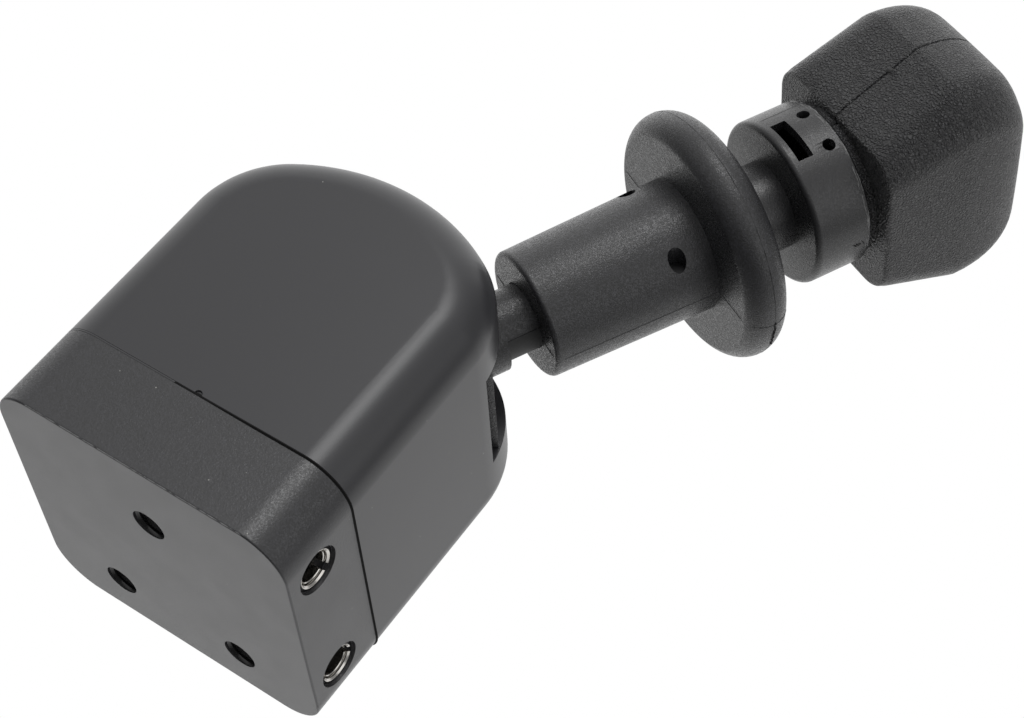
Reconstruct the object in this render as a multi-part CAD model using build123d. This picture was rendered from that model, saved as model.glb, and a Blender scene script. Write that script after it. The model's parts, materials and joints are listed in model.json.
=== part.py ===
"""Lift-collar lever hand brake valve: cover on a port block, swinging lever with a locking collar.

Frame: millimetres, +Z up from the mounting face, Y along the lever's pivot, lever leaning toward +X.
The origin is the centre of the mounting face.
"""
import os
from math import asin, atan2, cos, degrees, pi, radians, sin, sqrt

from build123d import *

# Housing envelope
body_width = 66.0
body_depth = 63.0
side_round = 9.5
crown_radius = 43.4
shoulder_radius = 21.9
pivot_height = 36.9
cover_wall = 2.5
gate_mark_radius = 0.8
gate_mark_depth = 0.5
block_height = 18.1
gasket_thickness = 0.4
gasket_inset = 0.8

# Fits
run_gap = 0.04
press_gap = 0.02
slide_gap = 0.1
seat_gap = 0.3
ride_gap = 0.2

# Construction
cutter_over = 1.0
on_plane = 1e-3

# Slot in the crown
slot_width = 27.0
slot_inner_radius = 5.0
slot_half_angle = 57.0

# Spigot and snaps that hold the cover
spigot_gap = 0.15
spigot_wall = 1.8
spigot_height = 5.9
snap_length = 6.0
snap_height = 1.3
snap_proud = 0.6
snap_spacing = 28.0
snap_rise = 3.4

# Mounting holes in the bottom face
mount_hole_radius = 3.6
mount_hole_depth = 8.0
front_mount_y = -13.0
rear_mount_x = 14.7
rear_mount_y = 20.0
bottom_edge_round = 0.4

# Ports on the +X side
port_pitch = 34.0
port_height = 7.6
port_mouth_radius = 4.9
port_mouth_depth = 0.8
port_bore_radius = 4.2
port_bore_depth = 12.5
tube_radius = 3.05
collet_length = 8.0
collet_rim_radius = 4.65
collet_rim_length = 0.6
collet_chamfer = 0.2
collet_slit_width = 0.8
collet_slit_length = 3.0
collet_notch_width = 1.4
collet_notch_depth = 2.2
supply_collet_turn = -42.0
delivery_collet_turn = -84.0
port_seal_wire = 1.0
passage_radius = 1.25
riser_share_x = 0.8
riser_share_y = 0.5

# Valve, seat and piston on the Z axis
chamber_radius = 6.5
chamber_floor = 2.5
seat_top = 10.2
seat_thickness = 2.6
seat_bore = 3.0
seat_lip = 0.3
seat_lip_wall = 1.4
valve_radius = 4.6
valve_thickness = 1.4
valve_rubber = 1.0
valve_boss_radius = 1.6
valve_boss_length = 0.9
valve_spring_wire = 0.6
valve_spring_turns = 2
piston_radius = 16.0
piston_crown = 3.3
piston_travel = 0.5
exhaust_tube_radius = 2.4
exhaust_bore = 1.3
piston_ring_wire = 1.4
piston_ring_squeeze = 0.85
piston_ring_round = 0.35
piston_boss_radius = 5.0
piston_boss_height = 2.2

# Follower and graduating spring
follower_radius = 9.9
follower_wall = 1.1
follower_plate = 1.8
follower_skirt = 8.85
follower_edge_round = 0.5
vent_radius = 1.2
vent_offset = 7.2
grad_spring_wire = 1.4
grad_spring_turns = 4

# Lever motion and cam
lever_park = 27.2
lever_drive = -27.2
cam_base = 9.0
cam_rate = 4.5
cam_width = 10.6
cam_pin_radius = 1.5
cam_pin_end_gap = 0.5
cam_pin_reach = 10.5
cam_key_wall = 2.2
cam_overrun = 10.0

# Bearing bracket
ear_inner = 10.3
ear_thickness = 2.9
ear_radius = 37.5
ear_half_width = 26.0
plate_thickness = 3.0
plate_corner = 4.0
plate_clear_x = 4.55
plate_clear_y = 2.55
pin_radius = 4.0
bracket_screw_x = 8.0
bracket_screw_edge = 4.5
screw_radius = 2.0
screw_head_radius = 3.6
screw_head_height = 2.6
screw_reach = 10.0
screw_socket = 1.5
screw_socket_depth = 1.6
screw_head_round = 0.4

# Latch gate
gate_radius = 21.0
gate_thickness = 1.6
latch_pin_radius = 1.5
latch_pin_overhang = 1.0
latch_drop = 2.4
collar_lift = 7.0
gate_inner_radius = 16.5
gate_outer_radius = 34.0
gate_half_angle = 43.0
gate_window_margin = 1.0
rivet_angle = 38.5
rivet_reach = 25.0
rivet_radius = 1.5
rivet_head_radius = 2.55
rivet_head_height = 0.9

# Pivot pin and retaining clips
pin_overhang = 1.8
pin_chamfer = 0.4
rod_chamfer = 0.3
clip_thickness = 0.8
clip_groove = 0.8
clip_width = 2.8
clip_mouth_share = 1.5
clip_play = 0.1

# Lever hub
hub_half_width = 9.9
hub_boss_radius = 8.4
tower_radius = 8.5
tower_top = 44.5
hub_shoulder = 15.0
hub_shoulder_round = 3.0
bush_wall = 1.5
bush_flange = 7.0
bush_flange_thickness = 0.3
socket_bottom = 34.0
rod_radius = 2.6
grub_radius = 2.0
grub_reach = 36.3
grub_recess = 0.4
grub_socket = 1.0
grub_point = 0.8

# Shield under the slot
shield_radius = 40.2
shield_thickness = 1.5
shield_gap = 0.3
shield_half_angle = 25.0

# Stops
stop_reach = 33.0
stop_bar_radius = 1.6
stop_buffer_radius = 3.4

# Stem
stem_radius = 6.9
stem_step = 66.0
stem_upper_radius = 5.5
stem_thread_radius = 5.0
stem_shoulder = 109.0
stem_top = 146.0
rod_bore_top = 92.0
rod_end = 2.4

# Collar: sleeve and finger flange
sleeve_bottom = 52.0
sleeve_bottom_radius = 13.4
sleeve_top_radius = 14.2
sleeve_edge_round = 1.0
guide_length = 6.0
flange_bottom = 88.2
flange_face_radius = 23.4
flange_radius = 26.6
flange_crest = 93.0
flange_top = 98.8
flange_top_radius = 17.0
collar_bore_radius = 9.8
bush_bottom = 73.0
bush_top = 85.0
collar_pin_reach = 80.8
collar_pin_radius = 1.75
collar_pin_hole = 1.85
collar_pin_length = 14.0
link_pin_reach = 76.5
link_pin_radius = 1.25
link_pin_end_gap = 0.6
collar_spring_wire = 1.2
collar_spring_turns = 6
collar_spring_gap = 0.5

# Knob base: neck and ring
neck_radius = 9.5
neck_bore = 7.7
neck_bottom = 94.0
spring_stop = 106.0
ring_bottom = 109.1
ring_top = 121.8
ring_radius = 17.8
ring_wall = 2.2
ring_floor = 2.0
ring_edge_round = 1.2
ring_rim_chamfer = 0.6
window_height = 3.4
window_half_angle = 17.4
window_clear = 0.1
ring_hole_radius = 1.35
ring_hole_reach = 118.6
ring_hole_angle = 15.2
nut_height = 5.0
nut_radius = 8.5

# Knob
knob_bottom = 123.6
knob_top = 158.6
knob_belly = 144.5
knob_foot_u = 19.7
knob_foot_y = 18.4
knob_foot_round = 6.2
knob_foot_bow = 0.2
knob_belly_u = 22.9
knob_belly_y = 26.3
knob_belly_round = 9.6
knob_belly_bow = 0.9
knob_swell = 1.6
knob_crown_draw = 14.0
knob_crown_sharpen = 0.35
knob_wall = 3.2
knob_belly_wall = 4.2
flare_steps = 4
crown_step = 15
core_pocket_wall = 2.0
knob_roof = 5.0
knob_roof_draw = 7.0
spigot_radius = 16.2
core_radius = 9.0
core_flange_radius = 11.5
core_flange = 2.0
core_head = 147.5

# Worked out from the sizes above
cover_bottom = block_height + gasket_thickness
exhaust_gap = piston_travel + slide_gap
piston_lift = piston_travel + seat_lip + slide_gap
spigot_inset = cover_wall + spigot_gap + spigot_wall
plate_half_x = body_width / 2 - spigot_inset - plate_clear_x
plate_half_y = body_depth / 2 - spigot_inset - plate_clear_y
bracket_screw_y = plate_half_y - bracket_screw_edge
ear_outer = ear_inner + ear_thickness
gate_outer_face = ear_outer + gate_thickness
latch_reach = gate_radius + latch_pin_radius + ride_gap
latch_low = latch_reach - latch_drop
latch_high = latch_reach + collar_lift
gate_floor_radius = latch_low - latch_pin_radius - ride_gap
gate_roof_radius = latch_high + latch_pin_radius + seat_gap
follower_top = pivot_height - cam_base - press_gap - run_gap
valve_top = seat_top - seat_thickness
piston_bottom = seat_top + piston_lift
piston_top = piston_bottom + piston_crown
rod_bore = rod_radius + slide_gap
swing = radians(lever_park - lever_drive)

parts = {}


def ring_solid(outer, inner, height):
    """Plain ring on Z, standing on z = 0."""
    return extrude(Circle(outer) - Circle(inner), height)


def rod_y(radius, length):
    """Rod along Y, centred on the origin."""
    return Rot(90, 0, 0) * Cylinder(radius, length)


def rod_x(radius, length):
    """Rod along X, centred on the origin."""
    return Rot(0, 90, 0) * Cylinder(radius, length)


def both_y(shape):
    """The shape and its mirror image across the plane y = 0."""
    return [shape, mirror(shape, Plane.XZ)]


def on_pivot(shape):
    """Move a shape built about the pivot with the lever upright to the pivot, still upright."""
    return Pos(0, 0, pivot_height) * shape


def on_lever(shape):
    """Place a shape built along +Z from the pivot on the parked lever."""
    return Pos(0, 0, pivot_height) * Rot(0, lever_park, 0) * shape


def polar(radius, angle):
    """Point at a radius from the pivot, angle in degrees from +Z toward +X."""
    return (radius * sin(radians(angle)), radius * cos(radians(angle)))


def sector(outer, inner, low, high, width):
    """Ring sector about the pivot axis between two angles, centred on y = 0."""
    middle = (low + high) / 2
    outline = Polyline(polar(inner, low), polar(outer, low))
    outline += ThreePointArc(polar(outer, low), polar(outer, middle), polar(outer, high))
    outline += Line(polar(outer, high), polar(inner, high))
    outline += ThreePointArc(polar(inner, high), polar(inner, middle), polar(inner, low))
    face = make_face(Plane.XZ * outline)
    return extrude(face, width / 2, both=True)


def spring(mean_radius, wire, turns, low, high):
    """Compression spring between two seats, as quarter-turn arcs on a helix."""
    start = low + wire / 2 + slide_gap
    rise = (high - low - wire - 2 * slide_gap) / turns

    def point(turn):
        angle = 2 * pi * turn
        return (mean_radius * cos(angle), mean_radius * sin(angle), start + rise * turn)

    path = Curve()
    for quarter in range(4 * turns):
        first = quarter / 4
        path += ThreePointArc(point(first), point(first + 1 / 8), point(first + 1 / 4))
    section = Plane(origin=path @ 0, z_dir=path % 0) * Circle(wire / 2)
    return sweep(section, path=path)


def torus_ring(mean_radius, wire):
    """O-ring lying in the XY plane."""
    return Torus(mean_radius, wire / 2)


def arch_face(inset, bottom):
    """Front outline of the housing: straight sides, shoulder arcs and crown arc, drawn in XZ."""
    half = body_width / 2 - inset
    crown = crown_radius - inset
    shoulder = shoulder_radius - inset
    centre_x = body_width / 2 - shoulder_radius
    rise = sqrt((crown_radius - shoulder_radius) ** 2 - centre_x ** 2)
    centre_z = pivot_height + rise
    tangent = degrees(atan2(centre_x, rise))
    top = pivot_height + crown
    join_x = crown * sin(radians(tangent))
    join_z = pivot_height + crown * cos(radians(tangent))
    middle = radians((tangent + 90) / 2)
    mid_x = centre_x + shoulder * sin(middle)
    mid_z = centre_z + shoulder * cos(middle)
    outline = Polyline((-half, centre_z), (-half, bottom), (half, bottom), (half, centre_z))
    outline += ThreePointArc((half, centre_z), (mid_x, mid_z), (join_x, join_z))
    outline += ThreePointArc((join_x, join_z), (0, top), (-join_x, join_z))
    outline += ThreePointArc((-join_x, join_z), (-mid_x, mid_z), (-half, centre_z))
    return make_face(Plane.XZ * outline)


def housing_form(inset, bottom):
    """Housing volume inside the outer surface by inset, with its two long edges rounded."""
    body = extrude(arch_face(inset, bottom), body_depth / 2 - inset, both=True)
    rim = [edge for edge in body.edges() if abs(edge.center().Z - bottom) > on_plane]
    rim = [edge for edge in rim if abs(abs(edge.center().Y) - (body_depth / 2 - inset)) < on_plane]
    return fillet(rim, side_round - inset)


def block_outline(inset):
    """Plan of the port block inside the outer surface by inset."""
    return RectangleRounded(body_width - 2 * inset, body_depth - 2 * inset, side_round - inset)


def snap_places():
    """Centre of each snap on the spigot, as x and the side in y."""
    return [(x, side) for x in (-snap_spacing / 2, snap_spacing / 2) for side in (-1, 1)]


def make_cover():
    """Moulded cover: a thin domed shell, open below, with the lever's slot in its crown."""
    cover = housing_form(0, cover_bottom) - housing_form(cover_wall, cover_bottom - cutter_over)
    reach = crown_radius + cutter_over
    slot = sector(reach, slot_inner_radius, -slot_half_angle, slot_half_angle, slot_width)
    cover -= Pos(0, 0, pivot_height) * slot
    inner_y = body_depth / 2 - cover_wall
    for x, side in snap_places():
        pocket_depth = snap_proud + spigot_gap
        pocket = Box(snap_length + 2 * seat_gap, 2 * pocket_depth, snap_height + 2 * seat_gap)
        cover -= Pos(x, side * inner_y, block_height + snap_rise) * pocket
    mark = Pos(0, -body_depth / 2, cover_bottom) * rod_y(gate_mark_radius, 2 * gate_mark_depth)
    return cover - mark


def make_port_block():
    """Valve block: ports, mounting holes, valve chamber, piston bore and the cover's spigot."""
    block = extrude(block_outline(0), block_height)
    block = fillet(block.edges().group_by(Axis.Z)[0], bottom_edge_round)
    spigot_outer = cover_wall + spigot_gap
    spigot_face = block_outline(spigot_outer) - block_outline(spigot_outer + spigot_wall)
    block += Pos(0, 0, block_height) * extrude(spigot_face, spigot_height)
    spigot_y = body_depth / 2 - spigot_outer
    for x, side in snap_places():
        barb = Polyline((0, 0), (snap_proud, 0), (0, snap_height), close=True)
        solid = extrude(make_face(Plane.YZ * barb), snap_length / 2, both=True)
        solid = Pos(x, spigot_y, block_height + snap_rise - snap_height / 2) * solid
        block += solid if side > 0 else mirror(solid, Plane.XZ)
    for x, y in mount_places():
        block -= Pos(x, y, 0) * extrude(Circle(mount_hole_radius), mount_hole_depth)
    block -= Pos(0, 0, seat_top) * extrude(Circle(piston_radius + slide_gap), block_height)
    block -= Pos(0, 0, chamber_floor) * extrude(Circle(chamber_radius), block_height)
    for x, y in screw_places():
        tapped = Pos(x, y, block_height - screw_reach - cutter_over)
        block -= tapped * extrude(Circle(screw_radius), block_height)
    for side in (-1, 1):
        block -= port_cavity(side)
    return block - passages()


def mount_places():
    """Centres of the three mounting holes."""
    return [(0, front_mount_y), (-rear_mount_x, rear_mount_y), (rear_mount_x, rear_mount_y)]


def screw_places():
    """Centres of the four bracket screws."""
    signs = (-1, 1)
    return [(i * bracket_screw_x, j * bracket_screw_y) for i in signs for j in signs]


def from_port_face(side, shape):
    """Place a shape built along +Z, with z = 0 on the port face and +Z pointing into the block."""
    return Pos(body_width / 2, side * port_pitch / 2, port_height) * Rot(0, -90, 0) * shape


def port_cavity(side):
    """Stepped bore of one port."""
    mouth = extrude(Circle(port_mouth_radius), port_mouth_depth)
    bore = extrude(Circle(port_bore_radius), port_bore_depth)
    rim = Pos(0, 0, port_mouth_depth) * extrude(Circle(collet_rim_radius + slide_gap), collet_rim_length)
    return from_port_face(side, mouth + bore + rim)


def drilling(start, end, radius):
    """Drilled passage between two points."""
    line = Line(start, end)
    return sweep(Plane(origin=line @ 0, z_dir=line % 0) * Circle(radius), path=line)


def passages():
    """Supply passage to the valve chamber and delivery passage to the space under the piston."""
    port_end = body_width / 2 - port_bore_depth + cutter_over
    port_y = port_pitch / 2
    supply_z = (chamber_floor + valve_top) / 2
    supply_end = (chamber_radius / 2, -chamber_radius / 2, supply_z)
    supply = drilling((port_end, -port_y, supply_z), supply_end, passage_radius)
    riser_x = piston_radius * riser_share_x
    riser_y = piston_radius * riser_share_y
    delivery = drilling((port_end, port_y, port_height), (riser_x, riser_y, port_height), passage_radius)
    riser = Pos(riser_x, riser_y, port_height) * extrude(Circle(passage_radius), seat_top)
    return supply + delivery + riser


def make_collets():
    """Plated push-in collets, one in each port, notched at the mouth and slit at the inner end."""
    collets = []
    for side, turn in ((-1, supply_collet_turn), (1, delivery_collet_turn)):
        sleeve = ring_solid(port_bore_radius - slide_gap, tube_radius, collet_length)
        rim = ring_solid(collet_rim_radius, tube_radius, collet_rim_length)
        collet = Pos(0, 0, port_mouth_depth) * (sleeve + rim)
        collet = chamfer(collet.edges().group_by(Axis.Z)[0], collet_chamfer)
        notch = Box(collet_notch_width, 4 * port_bore_radius, 2 * collet_notch_depth)
        collet -= Pos(0, 0, port_mouth_depth) * notch
        slit = Box(4 * port_bore_radius, collet_slit_width, 2 * collet_slit_length)
        collet -= Pos(0, 0, port_mouth_depth + collet_length) * slit
        collets.append(from_port_face(side, Rot(0, 0, turn) * collet))
    return collets


def make_port_seals():
    """Tube seals behind the collets."""
    depth = port_mouth_depth + collet_length + port_seal_wire
    mean = port_bore_radius - port_seal_wire / 2 - slide_gap
    return [from_port_face(side, Pos(0, 0, depth) * torus_ring(mean, port_seal_wire)) for side in (-1, 1)]


def make_gasket():
    """Flat gasket in the seam between cover and block."""
    face = block_outline(gasket_inset) - block_outline(cover_wall - slide_gap)
    return Pos(0, 0, block_height) * extrude(face, gasket_thickness)


def make_valve_seat():
    """Pressed-in seat ring with the bore that the exhaust tube passes through."""
    seat = ring_solid(chamber_radius - press_gap, seat_bore, seat_thickness)
    lip = Pos(0, 0, seat_thickness) * ring_solid(seat_bore + seat_lip_wall, seat_bore, seat_lip)
    return Pos(0, 0, valve_top) * (seat + lip)


def make_inlet_valve():
    """Valve head: a metal disc and boss."""
    top = valve_top - valve_rubber
    disc = Pos(0, 0, top - valve_thickness) * extrude(Circle(valve_radius), valve_thickness)
    boss_z = top - valve_thickness - valve_boss_length
    boss = Pos(0, 0, boss_z) * extrude(Circle(valve_boss_radius), valve_boss_length)
    return disc + boss


def make_valve_rubber():
    """Rubber facing bonded on the valve head."""
    return Pos(0, 0, valve_top - valve_rubber) * extrude(Circle(valve_radius), valve_rubber)


def make_valve_spring():
    """Spring that closes the inlet valve."""
    mean = valve_boss_radius + slide_gap + valve_spring_wire
    high = valve_top - valve_rubber - valve_thickness
    return spring(mean, valve_spring_wire, valve_spring_turns, chamber_floor, high)


def make_piston():
    """Control piston with its hollow exhaust tube and ring groove."""
    crown = Pos(0, 0, piston_bottom) * extrude(Circle(piston_radius), piston_crown)
    boss = Pos(0, 0, piston_top) * extrude(Circle(piston_boss_radius), piston_boss_height)
    tip = valve_top + exhaust_gap
    tube = Pos(0, 0, tip) * extrude(Circle(exhaust_tube_radius), piston_bottom - tip)
    groove_depth = piston_ring_wire * piston_ring_squeeze
    groove_height = piston_ring_wire + 2 * slide_gap
    groove = ring_solid(piston_radius + cutter_over, piston_radius - groove_depth, groove_height)
    groove_z = piston_bottom + (piston_crown - piston_ring_wire) / 2 - slide_gap
    bore = Pos(0, 0, tip - cutter_over) * extrude(Circle(exhaust_bore), pivot_height)
    return crown + boss + tube - Pos(0, 0, groove_z) * groove - bore


def make_piston_ring():
    """Piston seal, drawn pressed into its groove."""
    outer = piston_radius + slide_gap / 2
    inner = piston_radius - piston_ring_wire * piston_ring_squeeze + slide_gap / 2
    ring = ring_solid(outer, inner, piston_ring_wire)
    ring = fillet(ring.edges(), piston_ring_round)
    return Pos(0, 0, piston_bottom + (piston_crown - piston_ring_wire) / 2) * ring


def make_follower():
    """Cup that the cam presses down, with vent holes in its plate."""
    plate_z = follower_top - follower_plate
    cup = Pos(0, 0, plate_z) * extrude(Circle(follower_radius), follower_plate)
    skirt = ring_solid(follower_radius, follower_radius - follower_wall, follower_skirt)
    cup += Pos(0, 0, follower_top - follower_skirt) * skirt
    cup = fillet(cup.edges().group_by(Axis.Z)[-1], follower_edge_round)
    for side in (-1, 1):
        cup -= Pos(0, side * vent_offset, plate_z) * extrude(Circle(vent_radius), 3 * follower_plate)
    return cup


def make_grad_spring():
    """Graduating spring between piston and follower."""
    mean = follower_radius - follower_wall - slide_gap - grad_spring_wire / 2 - seat_gap
    return spring(mean, grad_spring_wire, grad_spring_turns, piston_top, follower_top - follower_plate)


def cam_point(turn):
    """Point of the cam edge that touches the follower when the lever has turned by this many radians.

    The edge is an involute: its height over the follower changes at a steady rate with the turn.
    """
    height = cam_base - cam_rate * turn
    return (height * sin(turn) - cam_rate * cos(turn), -height * cos(turn) - cam_rate * sin(turn))


def cam_pin_place():
    """Place of the cam's key pin on the parked lever, seen from the pivot."""
    return polar(cam_pin_reach, lever_park)


def make_cam():
    """Involute cam plate keyed to the hub, drawn with the lever parked."""
    overrun = radians(cam_overrun)
    steps = 8
    turns = [overrun - (swing + 2 * overrun) * step / steps for step in range(steps + 1)]
    points = [cam_point(turn) for turn in turns]
    outline = Spline(*points) + Polyline(points[-1], (0, 0), points[0])
    face = make_face(Plane.XZ * outline)
    lobe = extrude(face, cam_width / 2, both=True)
    hub = rod_y(cam_base - seat_gap, cam_width)
    key_x, key_z = cam_pin_place()
    key = Pos(key_x, 0, key_z) * rod_y(cam_pin_radius + cam_key_wall, cam_width)
    cam = lobe + hub + key
    cam -= rod_y(pin_radius + seat_gap, 2 * cam_width)
    cam -= Pos(key_x, 0, key_z) * rod_y(cam_pin_radius + press_gap, 2 * cam_width)
    return on_pivot(cam)


def make_cam_pin():
    """Key pin through the hub's cheeks and the cam."""
    length = 2 * (hub_half_width - cam_pin_end_gap)
    return on_lever(Pos(0, 0, cam_pin_reach) * rod_y(cam_pin_radius, length))


def latch_slot(radius, width):
    """Slot along Y that the latch pin slides in, over the whole travel of the collar."""
    low = latch_low - radius - seat_gap
    high = latch_high + radius + seat_gap
    middle = (low + high) / 2
    return Pos(0, 0, middle) * Box(2 * (radius + ride_gap), width, high - low)


def make_hub():
    """Lever hub: two cheeks on the pivot, a tower with the stem's socket and the latch slot."""
    boss = rod_y(hub_boss_radius, 2 * hub_half_width)
    cheeks = Pos(0, 0, hub_shoulder / 2) * Box(2 * tower_radius, 2 * hub_half_width, hub_shoulder)
    cheeks = fillet(cheeks.edges().filter_by(Axis.Y).group_by(Axis.Z)[-1], hub_shoulder_round)
    tower = extrude(Circle(tower_radius), tower_top)
    hub = boss + cheeks + tower
    gap_top = cam_pin_reach + cam_pin_radius + cam_key_wall + seat_gap
    gap_bottom = -2 * hub_boss_radius
    gap = Box(4 * tower_radius, cam_width, gap_top - gap_bottom)
    hub = hub - Pos(0, 0, (gap_top + gap_bottom) / 2) * gap
    hub -= rod_y(pin_radius + run_gap + bush_wall, 4 * hub_half_width)
    hub -= Pos(0, 0, cam_pin_reach) * rod_y(cam_pin_radius + press_gap, 4 * hub_half_width)
    hub -= extrude(Circle(rod_bore), tower_top)
    hub -= Pos(0, 0, socket_bottom) * extrude(Circle(stem_radius + press_gap), tower_top)
    hub -= latch_slot(latch_pin_radius, 4 * hub_half_width)
    hub -= Pos(tower_radius, 0, grub_reach) * rod_x(grub_radius, tower_radius)
    return on_lever(hub)


def make_shield():
    """Curved shield that travels with the lever and closes the slot."""
    inner = shield_radius - shield_thickness
    width = slot_width - 2 * shield_gap
    shield = sector(shield_radius, inner, -shield_half_angle, shield_half_angle, width)
    return on_lever(shield - extrude(Circle(tower_radius + press_gap), tower_top))


def make_hub_bushes():
    """Flanged bushes pressed into the hub's cheeks."""
    length = hub_half_width - cam_width / 2
    tube = ring_solid(pin_radius + run_gap + bush_wall - press_gap, pin_radius + run_gap, length)
    flange = Pos(0, 0, length) * ring_solid(bush_flange, pin_radius + run_gap, bush_flange_thickness)
    bush = Pos(0, cam_width / 2, 0) * Rot(-90, 0, 0) * (tube + flange)
    return [on_pivot(shape) for shape in both_y(bush)]


def make_grub_screw():
    """Screw that locks the stem in the hub."""
    length = tower_radius - stem_radius - press_gap - grub_recess
    screw = Rot(0, 90, 0) * extrude(Circle(grub_radius - press_gap), length)
    socket = Rot(0, 90, 0) * extrude(RegularPolygon(grub_socket, 6), length)
    screw = Pos(stem_radius + press_gap, 0, 0) * screw - Pos(stem_radius + grub_point, 0, 0) * socket
    return on_lever(Pos(0, 0, grub_reach) * screw)


def gate_window(grow):
    """Window that the latch pin sweeps, with the two pockets that it drops into, seen about the pivot."""
    pocket = degrees(asin((latch_pin_radius + ride_gap + grow) / latch_low))
    end = lever_park + pocket
    start = lever_drive - pocket
    width = body_depth
    window = sector(gate_roof_radius + grow, gate_radius - grow, start, end, width)
    for angle in (lever_drive, lever_park):
        top = gate_radius + cutter_over
        window += sector(top, gate_floor_radius - grow, angle - pocket, angle + pocket, width)
    return window


def rivet_places():
    """Rivets that hold a gate plate, as x and z seen from the pivot."""
    return [polar(rivet_reach, -rivet_angle), polar(rivet_reach, rivet_angle)]


def make_gates():
    """Hardened gate plates on the outer faces of the ears."""
    plate = sector(gate_outer_radius, gate_inner_radius, -gate_half_angle, gate_half_angle, gate_thickness)
    plate -= gate_window(0)
    for x, z in rivet_places():
        plate -= Pos(x, 0, z) * rod_y(rivet_radius + press_gap, 4 * gate_thickness)
    plate = Pos(0, ear_outer + gate_thickness / 2, 0) * plate
    return [on_pivot(shape) for shape in both_y(plate)]


def make_rivets():
    """Round-head rivets through gate plates and ears."""
    rivets = []
    grip = ear_thickness + gate_thickness
    for x, z in rivet_places():
        shank = Rot(-90, 0, 0) * extrude(Circle(rivet_radius), grip)
        head = Pos(0, grip, 0) * Rot(-90, 0, 0) * extrude(Circle(rivet_head_radius), rivet_head_height)
        rivet = Pos(x, ear_inner, z) * (shank + head)
        rivets += [on_pivot(shape) for shape in both_y(rivet)]
    return rivets


def ear_face():
    """Side outline of one ear about the pivot: round top, straight flanks, foot on the block."""
    foot = block_height - pivot_height
    corner = degrees(asin(ear_half_width / ear_radius))
    corner_x, corner_z = polar(ear_radius, corner)
    outline = Polyline((-corner_x, corner_z), (-corner_x, foot), (corner_x, foot), (corner_x, corner_z))
    outline += ThreePointArc((corner_x, corner_z), (0, ear_radius), (-corner_x, corner_z))
    return make_face(Plane.XZ * outline)


def stop_places():
    """Centres of the two stop bars about the pivot, set so the tower meets the buffers at its limits."""
    tower_angle = degrees(asin(tower_radius / stop_reach))
    buffer_angle = degrees(asin((stop_buffer_radius + seat_gap) / stop_reach))
    high = lever_park + tower_angle + buffer_angle
    low = lever_drive - tower_angle - buffer_angle
    return [polar(stop_reach, low), polar(stop_reach, high)]


def make_bracket():
    """Bearing bracket: foot plate with the follower's guide hole and two ears for the pivot."""
    plate = extrude(RectangleRounded(2 * plate_half_x, 2 * plate_half_y, plate_corner), plate_thickness)
    plate = Pos(0, 0, block_height) * plate
    ear = Pos(0, ear_inner + ear_thickness / 2, 0) * extrude(ear_face(), ear_thickness / 2, both=True)
    ear -= gate_window(gate_window_margin)
    ear -= rod_y(pin_radius + press_gap, body_depth)
    for x, z in rivet_places():
        ear -= Pos(x, 0, z) * rod_y(rivet_radius + press_gap, body_depth)
    for x, z in stop_places():
        ear -= Pos(x, 0, z) * rod_y(stop_bar_radius + press_gap, body_depth)
    bracket = plate
    for shape in both_y(ear):
        bracket += on_pivot(shape)
    low = block_height - cutter_over
    through = plate_thickness + 2 * cutter_over
    bracket -= Pos(0, 0, low) * extrude(Circle(follower_radius + slide_gap), through)
    for x, y in screw_places():
        bracket -= Pos(x, y, low) * extrude(Circle(screw_radius + slide_gap), through)
    return bracket


def make_bracket_screws():
    """Socket screws that hold the bracket on the block."""
    screws = []
    for x, y in screw_places():
        shank_length = screw_reach + plate_thickness
        shank = Pos(0, 0, -screw_reach) * extrude(Circle(screw_radius - press_gap), shank_length)
        head = Pos(0, 0, plate_thickness) * extrude(Circle(screw_head_radius), screw_head_height)
        head = fillet(head.edges().group_by(Axis.Z)[-1], screw_head_round)
        socket_z = plate_thickness + screw_head_height - screw_socket_depth
        socket = Pos(0, 0, socket_z) * extrude(RegularPolygon(screw_socket, 6), screw_head_height)
        screws.append(Pos(x, y, block_height) * (shank + head - socket))
    return screws


def make_pivot_pin():
    """Pivot pin with its two clip grooves."""
    half = ear_outer + pin_overhang
    pin = chamfer(rod_y(pin_radius, 2 * half).edges(), pin_chamfer)
    groove = rod_y(pin_radius + cutter_over, clip_thickness + clip_play)
    groove -= rod_y(pin_radius - clip_groove, 2 * clip_thickness)
    place = ear_outer + slide_gap + clip_thickness / 2
    for side in (-1, 1):
        pin -= Pos(0, side * place, 0) * groove
    return on_pivot(pin)


def make_pin_clips():
    """Open retaining clips on the pivot pin."""
    inner = pin_radius - clip_groove + press_gap
    ring = rod_y(inner + clip_width, clip_thickness - clip_play / 2) - rod_y(inner, 2 * clip_thickness)
    mouth = Box(clip_mouth_share * inner, 2 * clip_thickness, inner + clip_width)
    ring -= Pos(0, 0, -inner - clip_width / 2) * mouth
    clip = Pos(0, ear_outer + slide_gap + clip_thickness / 2, 0) * ring
    return [on_pivot(shape) for shape in both_y(clip)]


def make_stop_bars():
    """Tie bars between the ears."""
    return [on_pivot(Pos(x, 0, z) * rod_y(stop_bar_radius, 2 * ear_outer)) for x, z in stop_places()]


def make_stop_buffers():
    """Rubber sleeves on the tie bars that stop the lever."""
    length = 2 * (ear_inner - slide_gap)
    tube = rod_y(stop_buffer_radius, length) - rod_y(stop_bar_radius + press_gap, 2 * length)
    return [on_pivot(Pos(x, 0, z) * tube) for x, z in stop_places()]


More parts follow.
